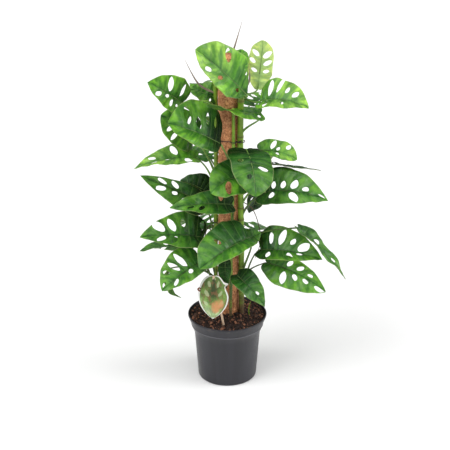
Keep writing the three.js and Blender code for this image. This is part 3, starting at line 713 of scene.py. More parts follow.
class StemSettings(bpy.types.PropertyGroup):
    """The climbing stems, new leaves, aerial roots and ties."""

    green: a_colour("Stem", "Colour of a young stem", (0.19, 0.34, 0.02))
    brown: a_colour("Old Stem", "Colour of scars and of the stems at the soil", (0.11, 0.07, 0.03))
    scar_height: a_share("Scar", "How far a scar stands out, as a share of the stem's radius", 0.16, 0.5)
    new_leaf: a_colour("New Leaf", "Colour of a rolled new leaf", (0.26, 0.2, 0.16))
    root: a_colour("Aerial Root", "Colour of an aerial root", (0.09, 0.05, 0.028))
    tie: a_colour("Tie", "Colour of the coated wire", (0.022, 0.014, 0.01))


class LeafSettings(bpy.types.PropertyGroup):
    """The perforated leaves and their stalks."""

    young: a_colour("Young", "Colour of a young leaf", (0.13, 0.42, 0.042))
    mature: a_colour("Mature", "Colour of an old leaf", (0.02, 0.12, 0.016))
    underside: a_colour("Underside", "Colour of a leaf's dull underside", (0.12, 0.24, 0.07))
    pale: a_colour("Pale", "Colour of a leaf that the light shines through", (0.6, 0.8, 0.36))
    stalk: a_colour("Stalk", "Colour of a leaf stalk", (0.09, 0.17, 0.03))
    roughness: a_share("Roughness", "How dull the upper side is", 0.33)
    translucency: a_share("Translucency", "Share of light that a blade lets through", 0.2)
    shading: a_strength("Shading", "How much darker the blades are near the pole", 0.9, 2)
    shaded_radius: a_length(
        "Shaded Radius", "How far from the pole's middle the blades are darkest", 0.047, 0, 0.2,
    )
    thickness: a_length("Thickness", "Thickness of a blade", 0.0005, 0.0002, 0.002)
    quilting: a_length("Quilting", "How far a blade bulges between two veins", 0.0017, 0, 0.005)


class LabelSettings(bpy.types.PropertyGroup):
    """The care label."""

    border: a_colour("Border", "Colour of the card's border", (0.88, 0.88, 0.84))
    green: a_colour("Print", "Green of the printed leaf", (0.16, 0.28, 0.055))
    warm: a_colour("Warm Patch", "Colour of the warm patch in the print", (0.62, 0.27, 0.11))
    dry: a_colour("Curl", "Colour of the dry curl at the card's edge", (0.2, 0.07, 0.035))
    stick: a_colour("Stick", "Colour of the wooden stick", (0.72, 0.52, 0.36))
    bow: a_length("Bow", "How far the card's sides curl back", 0.006, 0, 0.02)


class StageSettings(bpy.types.PropertyGroup):
    """The floor, lights and camera."""

    floor: a_colour("Floor", "Colour of the floor", (0.96, 0.96, 0.96))
    world: a_strength("Surround", "Strength of the even light", 0.34, 4)
    left: a_strength("Left Light", "Strength of the wide light at the left", 1.65, 20)
    right: a_strength("Right Light", "Strength of the wide light at the right", 1.6, 20)
    top: a_strength("Top Light", "Strength of the light above", 1.15, 20)


# Pot

# An edge is eased where it is level, sharper than this angle and this far out. A softer one than
# smooth_angle is shaded smooth.
POT_EDGES = dict(angle=24, beyond=20, width=0.45, smooth_angle=35)
DUST = (0.16, 0.13, 0.11, 1)
# A painted highlight for the bead.
BEAD_HIGHLIGHT = (0.13, 0.13, 0.145, 1)


def pot_inside():
    """The pot's inner wall from the floor to the rim, as (radius, height) pairs."""
    p = POT
    return [
        (p["foot_radius"] - 2 * p["wall"], p["floor"]),
        (p["foot_radius"] - p["wall"], p["foot_rounding"]),
        (p["body_top_radius"] - p["wall"], p["body_top_height"]),
        (p["bead_radius"] - p["wall"] - p["rim_ease"], p["bead_height"]),
        (p["rim_radius"] - p["lip"] - p["rim_ease"], p["height"] - p["lip"]),
    ]


def pot_outside():
    """The pot's outer wall from the middle of its underside to the top of its rim."""
    p = POT
    ease, bead, depth, height = p["rim_ease"], p["bead_radius"], p["bead_depth"], p["bead_height"]
    corner = [
        (p["foot_radius"] - p["foot_rounding"] * (1 - math.sin(a)), p["foot_rounding"] * (1 - math.cos(a)))
        for a in (k * math.pi / 10 for k in range(6))
    ]
    return [
        (0, 0), *corner,
        (p["body_top_radius"], p["body_top_height"]),
        (bead - depth, height - 2 * depth),
        (bead, height - depth / 2),
        (bead, height + depth / 2),
        (bead - ease, height + depth),
        (p["rim_radius"] - ease, p["height"] - 2 * p["lip"]),
        (p["rim_radius"], p["height"] - p["lip"]),
        (p["rim_radius"] - ease, p["height"]),
        (p["rim_radius"] - p["lip"], p["height"]),
    ]


def pot_material(s):
    """Moulded dark plastic: flow marks, drawn streaks of painted highlight, a painted highlight on the bead
    ring and a little dust at the rim.
    """
    pot = Finish("pot_plastic")
    place = pot.object_place()
    high = pot.axis(place, "Z")
    colour, marks = pot.mottle(place, 14, 420, toned(s.colour, 0.86), toned(s.colour, 1.18), 0.45)
    near_rim = pot.ramp(high, (POT["bead_height"] - 30) * MM, POT["height"] * MM)
    dust = pot.ramp(pot.noise(place, 95, detail=5), 0.5, 0.78) * near_rim
    # Painted highlights: soft vertical streaks lighter than the plastic.
    streaks = pot.ramp(pot.noise(pot.drawn_out(place, 0.04), 55, detail=3), 0.4, 0.62, 0, 0.6)
    colour = pot.blend(streaks, colour, toned(s.colour, 1.7))
    colour = pot.blend(dust * 0.35, colour, DUST)
    # Painted highlight: a lighter line along the bead.
    ring = pot.ramp(abs(high - POT["bead_height"] * MM), 1.3 * MM, 0.3 * MM, 0, 0.7)
    return pot.give(
        base_color=pot.blend(ring, colour, BEAD_HIGHLIGHT),
        roughness=pot.ramp(marks, 0, 1, s.roughness - 0.05, s.roughness + 0.08) + dust * 0.3,
        normal=pot.bump(pot.noise(place, 1300, detail=2), strength=0.25, depth=0.0002),
    )


def build_pot(s):
    """The pot's wall, turned from its section, with its edges eased and its drain holes cut."""
    bm = spun([*pot_outside(), *reversed(pot_inside()), (0, POT["floor"])], s.steps)
    rings = [
        edge for edge in bm.edges
        if abs(edge.verts[0].co.z - edge.verts[1].co.z) < 1e-4 and edge.is_manifold
        and edge.calc_face_angle(0) > math.radians(POT_EDGES["angle"])
        and edge.verts[0].co.xy.length > POT_EDGES["beyond"]
    ]
    bmesh.ops.bevel(
        bm, geom=rings, offset=POT_EDGES["width"], segments=3, profile=0.5, affect="EDGES", material=-1,
    )
    body = in_scene("pot_body", as_mesh(bm, "pot_body"))
    drills = bmesh.new()
    for i in range(POT["drain_count"]):
        spot = heading((i + 0.5) / POT["drain_count"] * FULL_TURN) * POT["drain_circle"]
        bmesh.ops.create_cone(
            drills, cap_ends=True, segments=32, radius1=POT["drain_radius"], radius2=POT["drain_radius"],
            depth=4 * POT["floor"], matrix=Matrix.Translation(spot),
        )
    cutter = in_scene("pot_drills", as_mesh(drills, "pot_drills"))
    holes = body.modifiers.new("Drain holes", "BOOLEAN")
    holes.object = cutter
    holes.solver = "EXACT"
    graph = bpy.context.evaluated_depsgraph_get()
    bm = joined(bpy.data.meshes.new_from_object(body.evaluated_get(graph)))
    for used in (body, cutter):
        bpy.data.objects.remove(used)
    piece = finish_piece(bm, "pot_fine", [pot_material(s)], ("pot",))
    piece.data.set_sharp_from_angle(angle=math.radians(POT_EDGES["smooth_angle"]))


# Soil

# The surface is level from the edge in over the ease, and lumpy in clods and crumbs.
SURFACE = dict(edge=80, ease=10, clods=1.7, clod_size=17, crumbs=0.7, crumb_size=4.5, rings=46, steps=150)

# Bark lies within a reach, with sizes spread about a middle (both logarithms), lifted by a share of
# its size and tilted by about half a radian. Its width and thickness are shares of its length, and
# a higher power of dryness leaves more of it dark.
BARK = dict(
    reach=79, middle=-0.95, spread=0.5, lift=0.25, tilt=0.5, rough=0.35, wide=(0.4, 0.9),
    thick=(0.2, 0.6), dryness=1.3,
)


def soil_height(x, y):
    """The height of the soil's surface: heaped round the pole, level at the wall, lumpy between."""
    middle = 1 - min(math.hypot(x - POLE["x"], y) / SOIL["level_radius"], 1)
    ease = held((SURFACE["edge"] - math.hypot(x, y)) / SURFACE["ease"])
    point = Vector((x, y, 0))
    clods = SURFACE["clods"] * lumps(point + Vector((5, 9, 2)), SURFACE["clod_size"])
    crumbs = SURFACE["crumbs"] * lumps(point, SURFACE["crumb_size"])
    return SOIL["top"] + SOIL["mound"] * middle + ease * (clods + crumbs)


def soil_material(s):
    """Damp peat and bark: each crumb has its own tone, from near black to dry reddish brown."""
    soil = Finish("soil_crumbs", roughness=0.9)
    peat, crust = soil.mottle(soil.object_place(), 70, 520, toned(s.dark, 0.55), toned(s.dark, 1.9), 0.5)
    dry = soil.ramp(soil.attribute("tone"), 0.35, 1)
    return soil.give(
        base_color=soil.blend(dry, peat, toned(s.light)),
        normal=soil.bump(crust, strength=0.7, depth=0.0012),
    )


def build_soil(s):
    """The soil's body, turned and made lumpy, with pieces of bark lying on it."""
    gap, top = SOIL["gap"], SOIL["top"]
    *inside, (low_radius, low), (high_radius, high) = pot_inside()
    edge = low_radius + (top - low) / (high - low) * (high_radius - low_radius)
    wall = [(r - gap, z) for r, z in [*inside, (low_radius, low), (edge, top)]]
    wall[0] = (wall[0][0], wall[0][1] + gap)
    rim = wall[-1][0]
    level = [(rim * (1 - k / SURFACE["rings"]), top) for k in range(1, SURFACE["rings"] + 1)]
    bm = spun([(0, POT["floor"] + gap), *wall, *level], SURFACE["steps"])
    for vert in bm.verts:
        if vert.co.z > top - 0.01 and vert.co.xy.length < rim - 0.1:
            vert.co.z = soil_height(vert.co.x, vert.co.y)
    material = soil_material(s)
    finish_piece(bm, "soil_fine", [material], ("soil",))

    draw = random.Random(11)
    bm = bmesh.new()
    bmesh.ops.create_icosphere(bm, subdivisions=1, radius=1)
    chip = as_mesh(bm, "bark_chip")
    chips = []
    for _ in range(s.chips):
        out = BARK["reach"] * math.sqrt(draw.random())
        turn = draw.uniform(0, FULL_TURN)
        size = s.chip_size / MM * draw.lognormvariate(BARK["middle"], BARK["spread"])
        spot = heading(turn) * out
        if out + size > SURFACE["edge"]:
            spot *= (SURFACE["edge"] - size) / out
        spot.z = soil_height(spot.x, spot.y) + BARK["lift"] * size
        pose = Matrix.Translation(spot) @ Matrix.Rotation(draw.uniform(0, 6.3), 4, "Z")
        for axis in "XY":
            pose @= Matrix.Rotation(draw.gauss(0, BARK["tilt"]), 4, axis)
        wide, thick = (draw.uniform(*BARK[key]) for key in ("wide", "thick"))
        pose @= Matrix.Diagonal((size, size * wide, size * thick, 1))
        chips.append((pose, draw.random() ** BARK["dryness"], draw.uniform(0, 50)))

    def lie(i, point):
        pose, _, place = chips[i]
        return pose @ (point * (1 + BARK["rough"] * noise.noise(point * 1.3 + Vector((place, 0, 0)))))

    bm = scatter(chip, s.chips, lie)
    tone = bm.verts.layers.float.new("tone")
    corners = len(chip.vertices)
    for k, vert in enumerate(bm.verts):
        vert[tone] = chips[k // corners][1]
    finish_piece(bm, "soil_bark", [material], smooth=False)


# Coir pole

# The mat's rings and steps, the sizes of its pits and of the hollows between them, and how deep
# they go.
MAT = dict(rings=260, steps=96, cap_rings=8, pit=7, hollow=26, hollow_depth=0.35, deepest=1.3)
CROWN_ANGLES = (0.5, 1.0, 1.57)

# A loose fibre's radii from its foot to its tip, and the ranges of its length, its droop as a share
# of that, and how many times thicker it is.
FIBRE = dict(radii=(0.09, 0.09, 0.07, 0.02), length=(4, 13), droop=(-0.5, 0.2), thick=(0.8, 1.7))


def coir_material(name, s, lift=1.0):
    """Matted coconut fibre: reddish brown with dark pits and pale strands."""
    coir = Finish(name, roughness=0.95)
    place = coir.object_place()
    mat, pits = coir.mottle(place, 260, 700, toned(s.dark, lift), toned(s.light, lift), 0.45)
    broad, _ = coir.mottle(place, 22, 60, (0.62, 0.58, 0.55, 1), (1.15, 1.1, 1.05, 1), 0.3)
    return coir.give(base_color=coir.times(mat, broad), normal=coir.bump(pits, strength=0.9, depth=0.0016))


def build_pole(s):
    """The coir sleeve with its pitted mat, the loose fibres on it, and the timber inside."""
    radius, bottom, top, bore, crown = (POLE[key] for key in ("radius", "bottom", "top", "bore", "crown"))
    middle = Vector((POLE["x"], 0, 0))
    tall = top - crown - bottom
    wall = [(radius, bottom + tall * k / MAT["rings"]) for k in range(MAT["rings"] + 1)]
    cap = [(radius - crown * (1 - math.cos(a)), top - crown * (1 - math.sin(a))) for a in CROWN_ANGLES]
    rings = [(cap[-1][0] * (1 - k / MAT["cap_rings"]), top) for k in range(1, MAT["cap_rings"])]
    under = [(0, top - POLE["cap"]), (bore, top - POLE["cap"]), (bore, bottom)]
    profile = [*under, *wall, *cap, *rings, (0, top)]
    bm = spun(profile[::-1], MAT["steps"], POLE["x"])
    bm.normal_update()
    depth = s.depth / MM
    for vert in bm.verts:
        out = (vert.co.xy - middle.xy).length
        if out < bore + 0.5 and vert.co.z < top - 1:
            continue
        pit = 0.5 + 0.5 * lumps(vert.co, MAT["pit"], 4)
        hollow = MAT["hollow_depth"] * lumps(vert.co + Vector((40, 0, 0)), MAT["hollow"], 2)
        vert.co -= vert.normal * depth * held(pit + hollow, 0, MAT["deepest"])
    finish_piece(bm, "coir_mat", [coir_material("coir_mat", s)], ("coir_sleeve",))

    draw = random.Random(23)
    strand = rod([Vector((0, 0, k / 3)) for k in range(4)], FIBRE["radii"], sides=3)
    poses = []
    for _ in range(s.fibres):
        outward = heading(draw.uniform(0, FULL_TURN))
        foot = middle + outward * (radius - depth * 0.6) + UP * draw.uniform(SOIL["top"], top)
        lying = left_of(outward) * draw.gauss(0, 1) + UP * draw.gauss(0, 1)
        way = (lying.normalized() + outward * abs(draw.gauss(0.1, 0.28))).normalized()
        measures = [draw.uniform(*FIBRE[key]) for key in ("length", "droop", "thick")]
        poses.append((foot, way, outward, *measures))

    def lie(i, point):
        foot, way, outward, length, droop, thick = poses[i]
        side = way.cross(outward).normalized()
        over = side.cross(way)
        bend = droop * point.z ** 2 * length * 0.5
        return foot + way * point.z * length + thick * (side * point.x + over * point.y) + outward * bend

    bm = scatter(strand, s.fibres, lie)
    finish_piece(bm, "coir_fibres", [coir_material("coir_fibres", s, lift=1.25)])

    timber = Finish("pole_timber", roughness=0.8)
    grain = timber.drawn_out(timber.object_place(), 0.06)
    colour, _ = timber.mottle(grain, 240, 900, (0.32, 0.18, 0.08, 1), (0.55, 0.36, 0.18, 1))
    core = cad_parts["pole_core"]
    core.data.materials.clear()
    core.data.materials.append(timber.give(base_color=colour))


# Stems, new leaves and aerial roots

SCAR = dict(below=2, reach=3.4, shown_from=0.45, colour=0.85)
# Low on the stems the skin turns corky brown, as old skin and partly as painted shade at their foot.
OLD_AND_SHADED_STEM = dict(above=0.3, below=0.18, uneven=0.06, roughness=0.85)

# A stem's rings lie about a step apart. Its end is rounded over so many radii, down to a share.
STEM_SHAPE = dict(step=3, rounded=2.2, end=0.35, uneven=0.05, uneven_size=21)
SPEAR = dict(
    rings=40, radius=1.9, belly=0.6, taper=1.6, flat=0.88, winding=5, seam_rise=0.16, seam_depth=0.1,
)
ROOT = dict(rings=70, radius=1.05, taper=0.35, uneven=0.22, uneven_size=6, tip_rings=5)

# A young shoot at the foot of the pole.
SHOOT = dict(
    radius=1.3, taper=0.6, rings=20, path=((47, -12, 146), (46, -11, 158), (47, -12, 170), (50, -14, 180)),
)


def skin_material(name, fresh, roughness, old=None):
    """Skin of a stem, spear, root or curl. With an old colour it is corky at the scars and low down,
    where the brown is partly painted shade.
    """
    skin = Finish(name, roughness=roughness)
    place = skin.object_place()
    colour, uneven = skin.mottle(place, 55, 380, toned(fresh, 0.72), toned(fresh, 1.25), 0.35)
    corky = fresh if old is None else old
    cork, crust = skin.mottle(place, 90, 700, toned(corky, 0.6), toned(corky, 1.5), 0.5)
    if old is not None:
        # Browner towards the bottom, as old skin and partly painted shade, and at the scars as old skin.
        high = uneven * OLD_AND_SHADED_STEM["uneven"] + skin.axis(place, "Z")
        aged_and_shaded = skin.ramp(high, OLD_AND_SHADED_STEM["above"], OLD_AND_SHADED_STEM["below"])
        aged_and_shaded = skin.attribute("scar").math("MAXIMUM", aged_and_shaded, clamp=True)
        colour = skin.blend(aged_and_shaded, colour, cork)
        skin.give(roughness=skin.ramp(aged_and_shaded, 0, 1, roughness, OLD_AND_SHADED_STEM["roughness"]))
    return skin.give(base_color=colour, normal=skin.bump(crust, strength=0.5, depth=0.0006))


def scar_share(joints, z):
    """How much of a leaf scar lies at a height, from 0 to 1."""
    return max((hump(z - at + SCAR["below"], SCAR["reach"]) for at in joints), default=0)


def build_stems(s):
    """The four climbing stems, each with a scar and a swelling where a leaf stalk leaves it."""
    material = skin_material("stem_skin", s.green, 0.42, s.brown)
    for name, row in STEMS.items():
        joints = [leaf_row["at"] for leaf_row in LEAVES.values() if leaf_row["stem"] == name]
        radius, tall = row["radius"], row["top"] - STEM_FOOT
        last = int(tall / STEM_SHAPE["step"]) - 1
        heights = [STEM_FOOT + tall * k / last for k in range(last + 1)]
        radii = []
        for z in heights:
            blunt = math.sqrt(held((row["top"] - z) / (STEM_SHAPE["rounded"] * radius)))
            swell = 1 + s.scar_height * scar_share(joints, z)
            spot = Vector((row["bearing"], 0, z))
            swell += STEM_SHAPE["uneven"] * lumps(spot, STEM_SHAPE["uneven_size"], 2)
            radii.append(radius * swell * (STEM_SHAPE["end"] + (1 - STEM_SHAPE["end"]) * blunt))
        bm = joined(rod([stem_centre(row, z) for z in heights], radii, 16))
        scar = bm.verts.layers.float.new("scar")
        for vert in bm.verts:
            shown = max(scar_share(joints, vert.co.z - radius * 0.2) - SCAR["shown_from"], 0)
            vert[scar] = SCAR["colour"] * shown / (1 - SCAR["shown_from"])
        finish_piece(bm, f"{name}_fine", [material], (name,))


def build_new_leaves(s):
    """The rolled new leaves: slim cones wrapped by a seam that winds to a sharp tip."""
    material = skin_material("spear_skin", s.new_leaf, 0.55)
    count = SPEAR["rings"]
    for name, row in SPEARS.items():
        foot = stem_centre(STEMS[row["stem"]], row["at"])
        path = smooth_path([foot, Vector(row["bend"]), Vector(row["tip"])], count)
        radii = []
        for k in range(count):
            t = k / (count - 1)
            belly = SPEAR["belly"] * math.sin(math.pi * min(t * 1.25, 1))
            radii.append(SPEAR["radius"] + belly - SPEAR["taper"] * t ** 1.6)
        bm = joined(rod(path, radii, 18, SPEAR["flat"]))
        for vert in bm.verts:
            k = min(range(count), key=lambda i: (path[i] - vert.co).length_squared)
            arm = vert.co - path[k]
            if arm.length < 0.05:
                continue
            seam = ((math.atan2(arm.y, arm.x) + SPEAR["winding"] * k / count) / FULL_TURN) % 1
            vert.co += arm * (SPEAR["seam_rise"] * seam - SPEAR["seam_depth"])
        finish_piece(bm, f"{name}_fine", [material], (name,))
    count = SHOOT["rings"]
    radii = [SHOOT["radius"] * (1 - SHOOT["taper"] * k / (count - 1)) for k in range(count)]
    bm = joined(rod(smooth_path(SHOOT["path"], count), radii, 10))
    finish_piece(bm, "shoot", [skin_material("shoot_skin", s.green, 0.5)])


def build_roots(s):
    """The aerial roots: thin, uneven and corky, each tapered to its tip."""
    material = skin_material("root_skin", s.root, 0.8)
    count = ROOT["rings"]
    for name, row in ROOTS.items():
        path = smooth_path([stem_centre(STEMS[row["stem"]], row["at"]), *row["path"]], count)
        radii = []
        for k in range(count):
            uneven = 1 + ROOT["uneven"] * lumps(path[k], ROOT["uneven_size"], 2)
            tapered = ROOT["radius"] - ROOT["taper"] * k / count
            radii.append(tapered * uneven * min((count - k) / ROOT["tip_rings"], 1))
        finish_piece(joined(rod(path, radii, 10)), f"{name}_fine", [material], (name,))


# Ties

# The wire's ring starts at a bearing and sags a little. Its two ends are twisted round each other.
WIRE = dict(start=-52, steps=120, sag=0.8, thin=0.85)
TAIL = dict(steps=24, step=0.5, out=0.62, up=0.45, aside=0.1, turns=2.5, coil=0.95, radius=0.75)


def tie_reach(z, way):
    """How far out a tie runs in a direction: round the pole, over the stems and drawn in between."""
    clear = FIT_GAP + TIE["radius"]
    out = POLE["radius"] + clear + FIT_GAP
    for row in STEMS.values():
        centre = stem_centre(row, z) - Vector((POLE["x"], 0, z))
        ahead = centre.dot(way)
        off = math.sqrt(max(centre.length_squared - ahead ** 2, 0))
        cover = row["radius"] + clear + TIE["slack"]
        if ahead > 0 and off < cover:
            out = max(out, ahead + math.sqrt(cover ** 2 - off ** 2))
    return out


def build_ties(s):
    """The coated wire ties: one turn round pole and stems, its two ends twisted together in front."""
    material = plain_finish("tie_wire", toned(s.tie, 0.7), toned(s.tie, 1.8), 160, 900, (0.4, 0.6))
    start = math.radians(WIRE["start"])
    outward = heading(start)
    aside = left_of(outward)
    for name, z in TIES.items():
        ring = []
        for k in range(WIRE["steps"] + 1):
            bearing = start + FULL_TURN * k / WIRE["steps"]
            way = heading(bearing)
            sag = WIRE["sag"] * math.sin(3 * bearing)
            ring.append(Vector((POLE["x"], 0, z + sag)) + way * tie_reach(z, way))
        rods = []
        for half, end in ((0, ring[0]), (math.pi, ring[-1])):
            tail = []
            for k in range(TAIL["steps"] + 1):
                turn = half + k / TAIL["steps"] * TAIL["turns"] * FULL_TURN
                run = (outward * TAIL["out"] + UP * TAIL["up"]) * TAIL["step"] + aside * TAIL["aside"]
                coil = aside * math.cos(turn) + UP * math.sin(turn)
                tail.append(end + run * k + TAIL["coil"] * coil)
            rods.append(rod(tail, [TAIL["radius"]] * len(tail), 8))
        rods.append(rod(ring, [TIE["radius"] * WIRE["thin"]] * len(ring), 10))
        finish_piece(joined(*rods), f"{name}_wire", [material], (name,))


# Leaves

# A panel's grid: faces along the midrib, faces out to the margin, and rings of faces round a window.
CELL = dict(along=8, out=14, rings=5)

# How far a window may lie off its usual place in its panel.
SHIFT = dict(along=0.06, out=0.05)

# A window that is open to the margin runs round most of a circle, from a start on, in degrees. A
# closed one is a lens with a power to its sides, egg shaped: widest towards the midrib.
OPEN_WINDOW = dict(start=30, turn=300, tall=0.575)
CLOSED_WINDOW = dict(power=1.35, egg=0.16, wide=1.04, tall=0.52)

# The blade's relief in millimetres, and the shade near its foot and near the pole.
RELIEF = dict(groove=0.7, groove_width=0.05, crumple=2.2, crumple_size=19, uneven=0.012)
SHADE = dict(foot_veins=4.3, reach=31, below=640, over=60, darkest=-0.9, spread=0.05)

# The widths of the lines on a blade's two sides, how much of the veins shows and how far they stand
# out, then the colours that the blade's own colour is multiplied by or blended with. Painted light and
# shade among them: the black of a shaded blade, the darker middle and lighter outer part, the furrow's
# shade and the crest's highlight, and the darker midrib on the top side.
BLADE_SIDES = {
    "top": dict(vein=0.09, midrib=0.035, shown=0.34, relief=-0.6),
    "under": dict(vein=0.12, midrib=0.05, shown=0.51, relief=0.8),
}
BLADE = dict(
    shade_black=(0.006, 0.03, 0.007, 1), patch_dark=(0.7, 0.78, 0.76, 1), patch_light=(1.25, 1.15, 1.06, 1),
    middle=(0.62, 0.76, 0.7, 1), margin=(1.25, 1.12, 1, 1), furrow_shade=(0.56, 0.7, 0.63, 1),
    crest_highlight=(1.62, 1.36, 1.15, 1), vein=(0.3, 0.5, 0.14, 1), rib=(0.35, 0.5, 0.4, 1),
    edge=(0.5, 0.55, 0.2, 1), through=(1.6, 1.5, 0.55, 1),
)


def blade_axes(row):
    """The blade's start and length, and its directions ahead, up and to the side."""
    start, tip, face = (Vector(row[key]) for key in ("base", "tip", "face"))
    ahead = (tip - start).normalized()
    up = (face - ahead * face.dot(ahead)).normalized()
    return start, (tip - start).length, ahead, up, ahead.cross(up)


def blade_point(row, axes, s, v):
    """A place on the blade: s counts the veins from foot to tip, v runs from -1 to 1 across it."""
    start, length, ahead, up, side = axes
    far = abs(v)
    foot = along(VEIN_FOOT, s)
    swept = (along(MARGIN_ALONG, s) - foot) * far ** VEIN_SWEEP
    t = foot + swept + row["sweep"] * (1 - foot) * far * min(s, 1)
    bow = 4 * t * (1 - t if t > 0 else 1)
    slope = 4 * (1 - 2 * max(t, 0))
    midrib = start + ahead * (length * t) + up * (length * row["arch"] * bow)
    midrib += side * (length * row["bend"] * bow)
    forward = (ahead + up * (row["arch"] * slope)).normalized()
    across = Matrix.Rotation(math.radians(row["twist"] * t), 3, forward) @ side
    above = across.cross(forward).normalized()
    blunt = row["round"] * math.sin(math.pi * s / SWELL_SPAN)
    fullness = 0.5 * (2 * max(along(MARGIN_OUT, s), 0)) ** (1 - blunt)
    narrowed = 1 - row["taper"] * max(1 - s / 3, 0)
    lop = 1 + row["lop"] * ((v > 0) - (v < 0))
    out = row["width"] * lop * fullness * narrowed * v
    rise = math.radians(row["fold"] + row["curl"] * far / 2)
    ripple = row["wave"] * v * v * math.sin(2.4 * s + (0 if v > 0 else 2)) * math.sin(math.pi * s / PANELS)
    return midrib + across * (out * math.cos(rise)) + above * (abs(out) * math.sin(rise) + ripple)


def panel_cell(window):
    """One panel of a blade as a unit square, x along the midrib and y out to the margin, round a window."""
    bm = bmesh.new()
    if not window:
        bmesh.ops.create_grid(bm, x_segments=CELL["along"], y_segments=CELL["out"], size=0.5)
        bmesh.ops.translate(bm, vec=(0.5, 0.5, 0), verts=bm.verts)
        return bm
    corners = [Vector(p) for p in ((0, 1, 0), (0, 0, 0), (1, 0, 0), (1, 1, 0), (0, 1, 0))]
    steps = [CELL["out"], CELL["along"], CELL["out"], CELL["along"]]
    if window.get("open"):
        steps.pop()
    total = sum(steps)
    half, reach = window["half"], window["end"] - window["start"]
    middle = window["end"] - reach / 2
    bmesh.ops.create_grid(bm, x_segments=total, y_segments=CELL["rings"], size=0.5)
    for vert in bm.verts:
        round_it, share = vert.co.x + 0.5, vert.co.y + 0.5
        k = round(round_it * total)
        side = 0
        while k > steps[side]:
            k -= steps[side]
            side += 1
        outer = corners[side].lerp(corners[side + 1], k / steps[side])
        if window.get("open"):
            turn = math.radians(OPEN_WINDOW["start"] + OPEN_WINDOW["turn"] * round_it)
            tall = OPEN_WINDOW["tall"] * reach
            inner = Vector((0.5 - half * math.sin(turn), middle + tall * math.cos(turn), 0))
        else:
            turn = math.atan2((outer.y - middle) / reach * 2, (outer.x - 0.5) / half)
            lens = math.copysign(abs(math.cos(turn)) ** CLOSED_WINDOW["power"], math.cos(turn))
            egg = 1 - CLOSED_WINDOW["egg"] * math.sin(turn)
            tall = CLOSED_WINDOW["tall"] * reach
            wide = CLOSED_WINDOW["wide"] * half * lens * egg
            inner = Vector((0.5 + wide, middle + tall * math.sin(turn), 0))
        vert.co = outer.lerp(inner, share)
    bmesh.ops.remove_doubles(bm, verts=bm.verts, dist=1e-5)
    return bm


def leaf_sheet(row, cells, draw):
    """The flat blade in vein places: fourteen panels side by side, each with its window."""
    bm = bmesh.new()
    for half, letters in enumerate(row["windows"]):
        for i in range(PANELS):
            aside = draw.uniform(-SHIFT["along"], SHIFT["along"])
            outward = draw.uniform(-SHIFT["out"], SHIFT["out"])
            start, faces = len(bm.verts), len(bm.faces)
            bm.from_mesh(cells[letters[i]])
            bm.verts.ensure_lookup_table()
            bm.faces.ensure_lookup_table()
            for vert in bm.verts[start:]:
                x, y = vert.co.x, vert.co.y
                ease = math.sin(math.pi * x) * math.sin(math.pi * y)
                x, y = x + aside * ease, y + outward * ease
                vert.co = (i + x, y if half == 0 else -y, 0)
            if half == 0:
                bmesh.ops.reverse_faces(bm, faces=bm.faces[faces:])
    for vert in bm.verts:
        if vert.co.x < 1e-4 or vert.co.x > PANELS - 1e-4:
            vert.co.y = 0
    bmesh.ops.remove_doubles(bm, verts=bm.verts, dist=1e-4)
    return bm


def leaf_stalk(row, axes):
    """The stalk from the stem to the blade, with its knee, running on as a rib under the midrib."""
    start, _, ahead, up, _ = axes
    foot = stem_centre(STEMS[row["stem"]], row["at"])
    outward = Vector((start.x - POLE["x"], start.y, 0)).normalized()
    span = (foot - start).length
    leave = foot + outward * (0.12 * span) + UP * (0.4 * span)
    arrive = start - ahead * (0.22 * span) - up * (0.1 * span) - UP * (0.12 * span)
    rings, rib, neck = STALK["rings"], STALK["rib_rings"], STALK["neck_radius"]
    path = interpolate_bezier(foot, leave, arrive, start, rings)
    radii = []
    for k in range(rings):
        t = k / (rings - 1)
        knee = hump(t - STALK["knee_at"], STALK["knee_reach"]) * (STALK["knee_radius"] - neck)
        narrowed = (STALK["foot_radius"] - neck) * min(STALK["narrows"] * t, 1)
        radii.append(STALK["foot_radius"] - narrowed + knee)
    for k in range(1, rib + 1):
        path.append(blade_point(row, axes, STALK["rib_vein"] * k / rib, 0) - up * STALK["sunk"])
        radii.append(neck * (1 - STALK["rib_taper"] * (k / rib) ** 0.7))
    return rod(path, radii, 10, STALK["flat"], material=2)


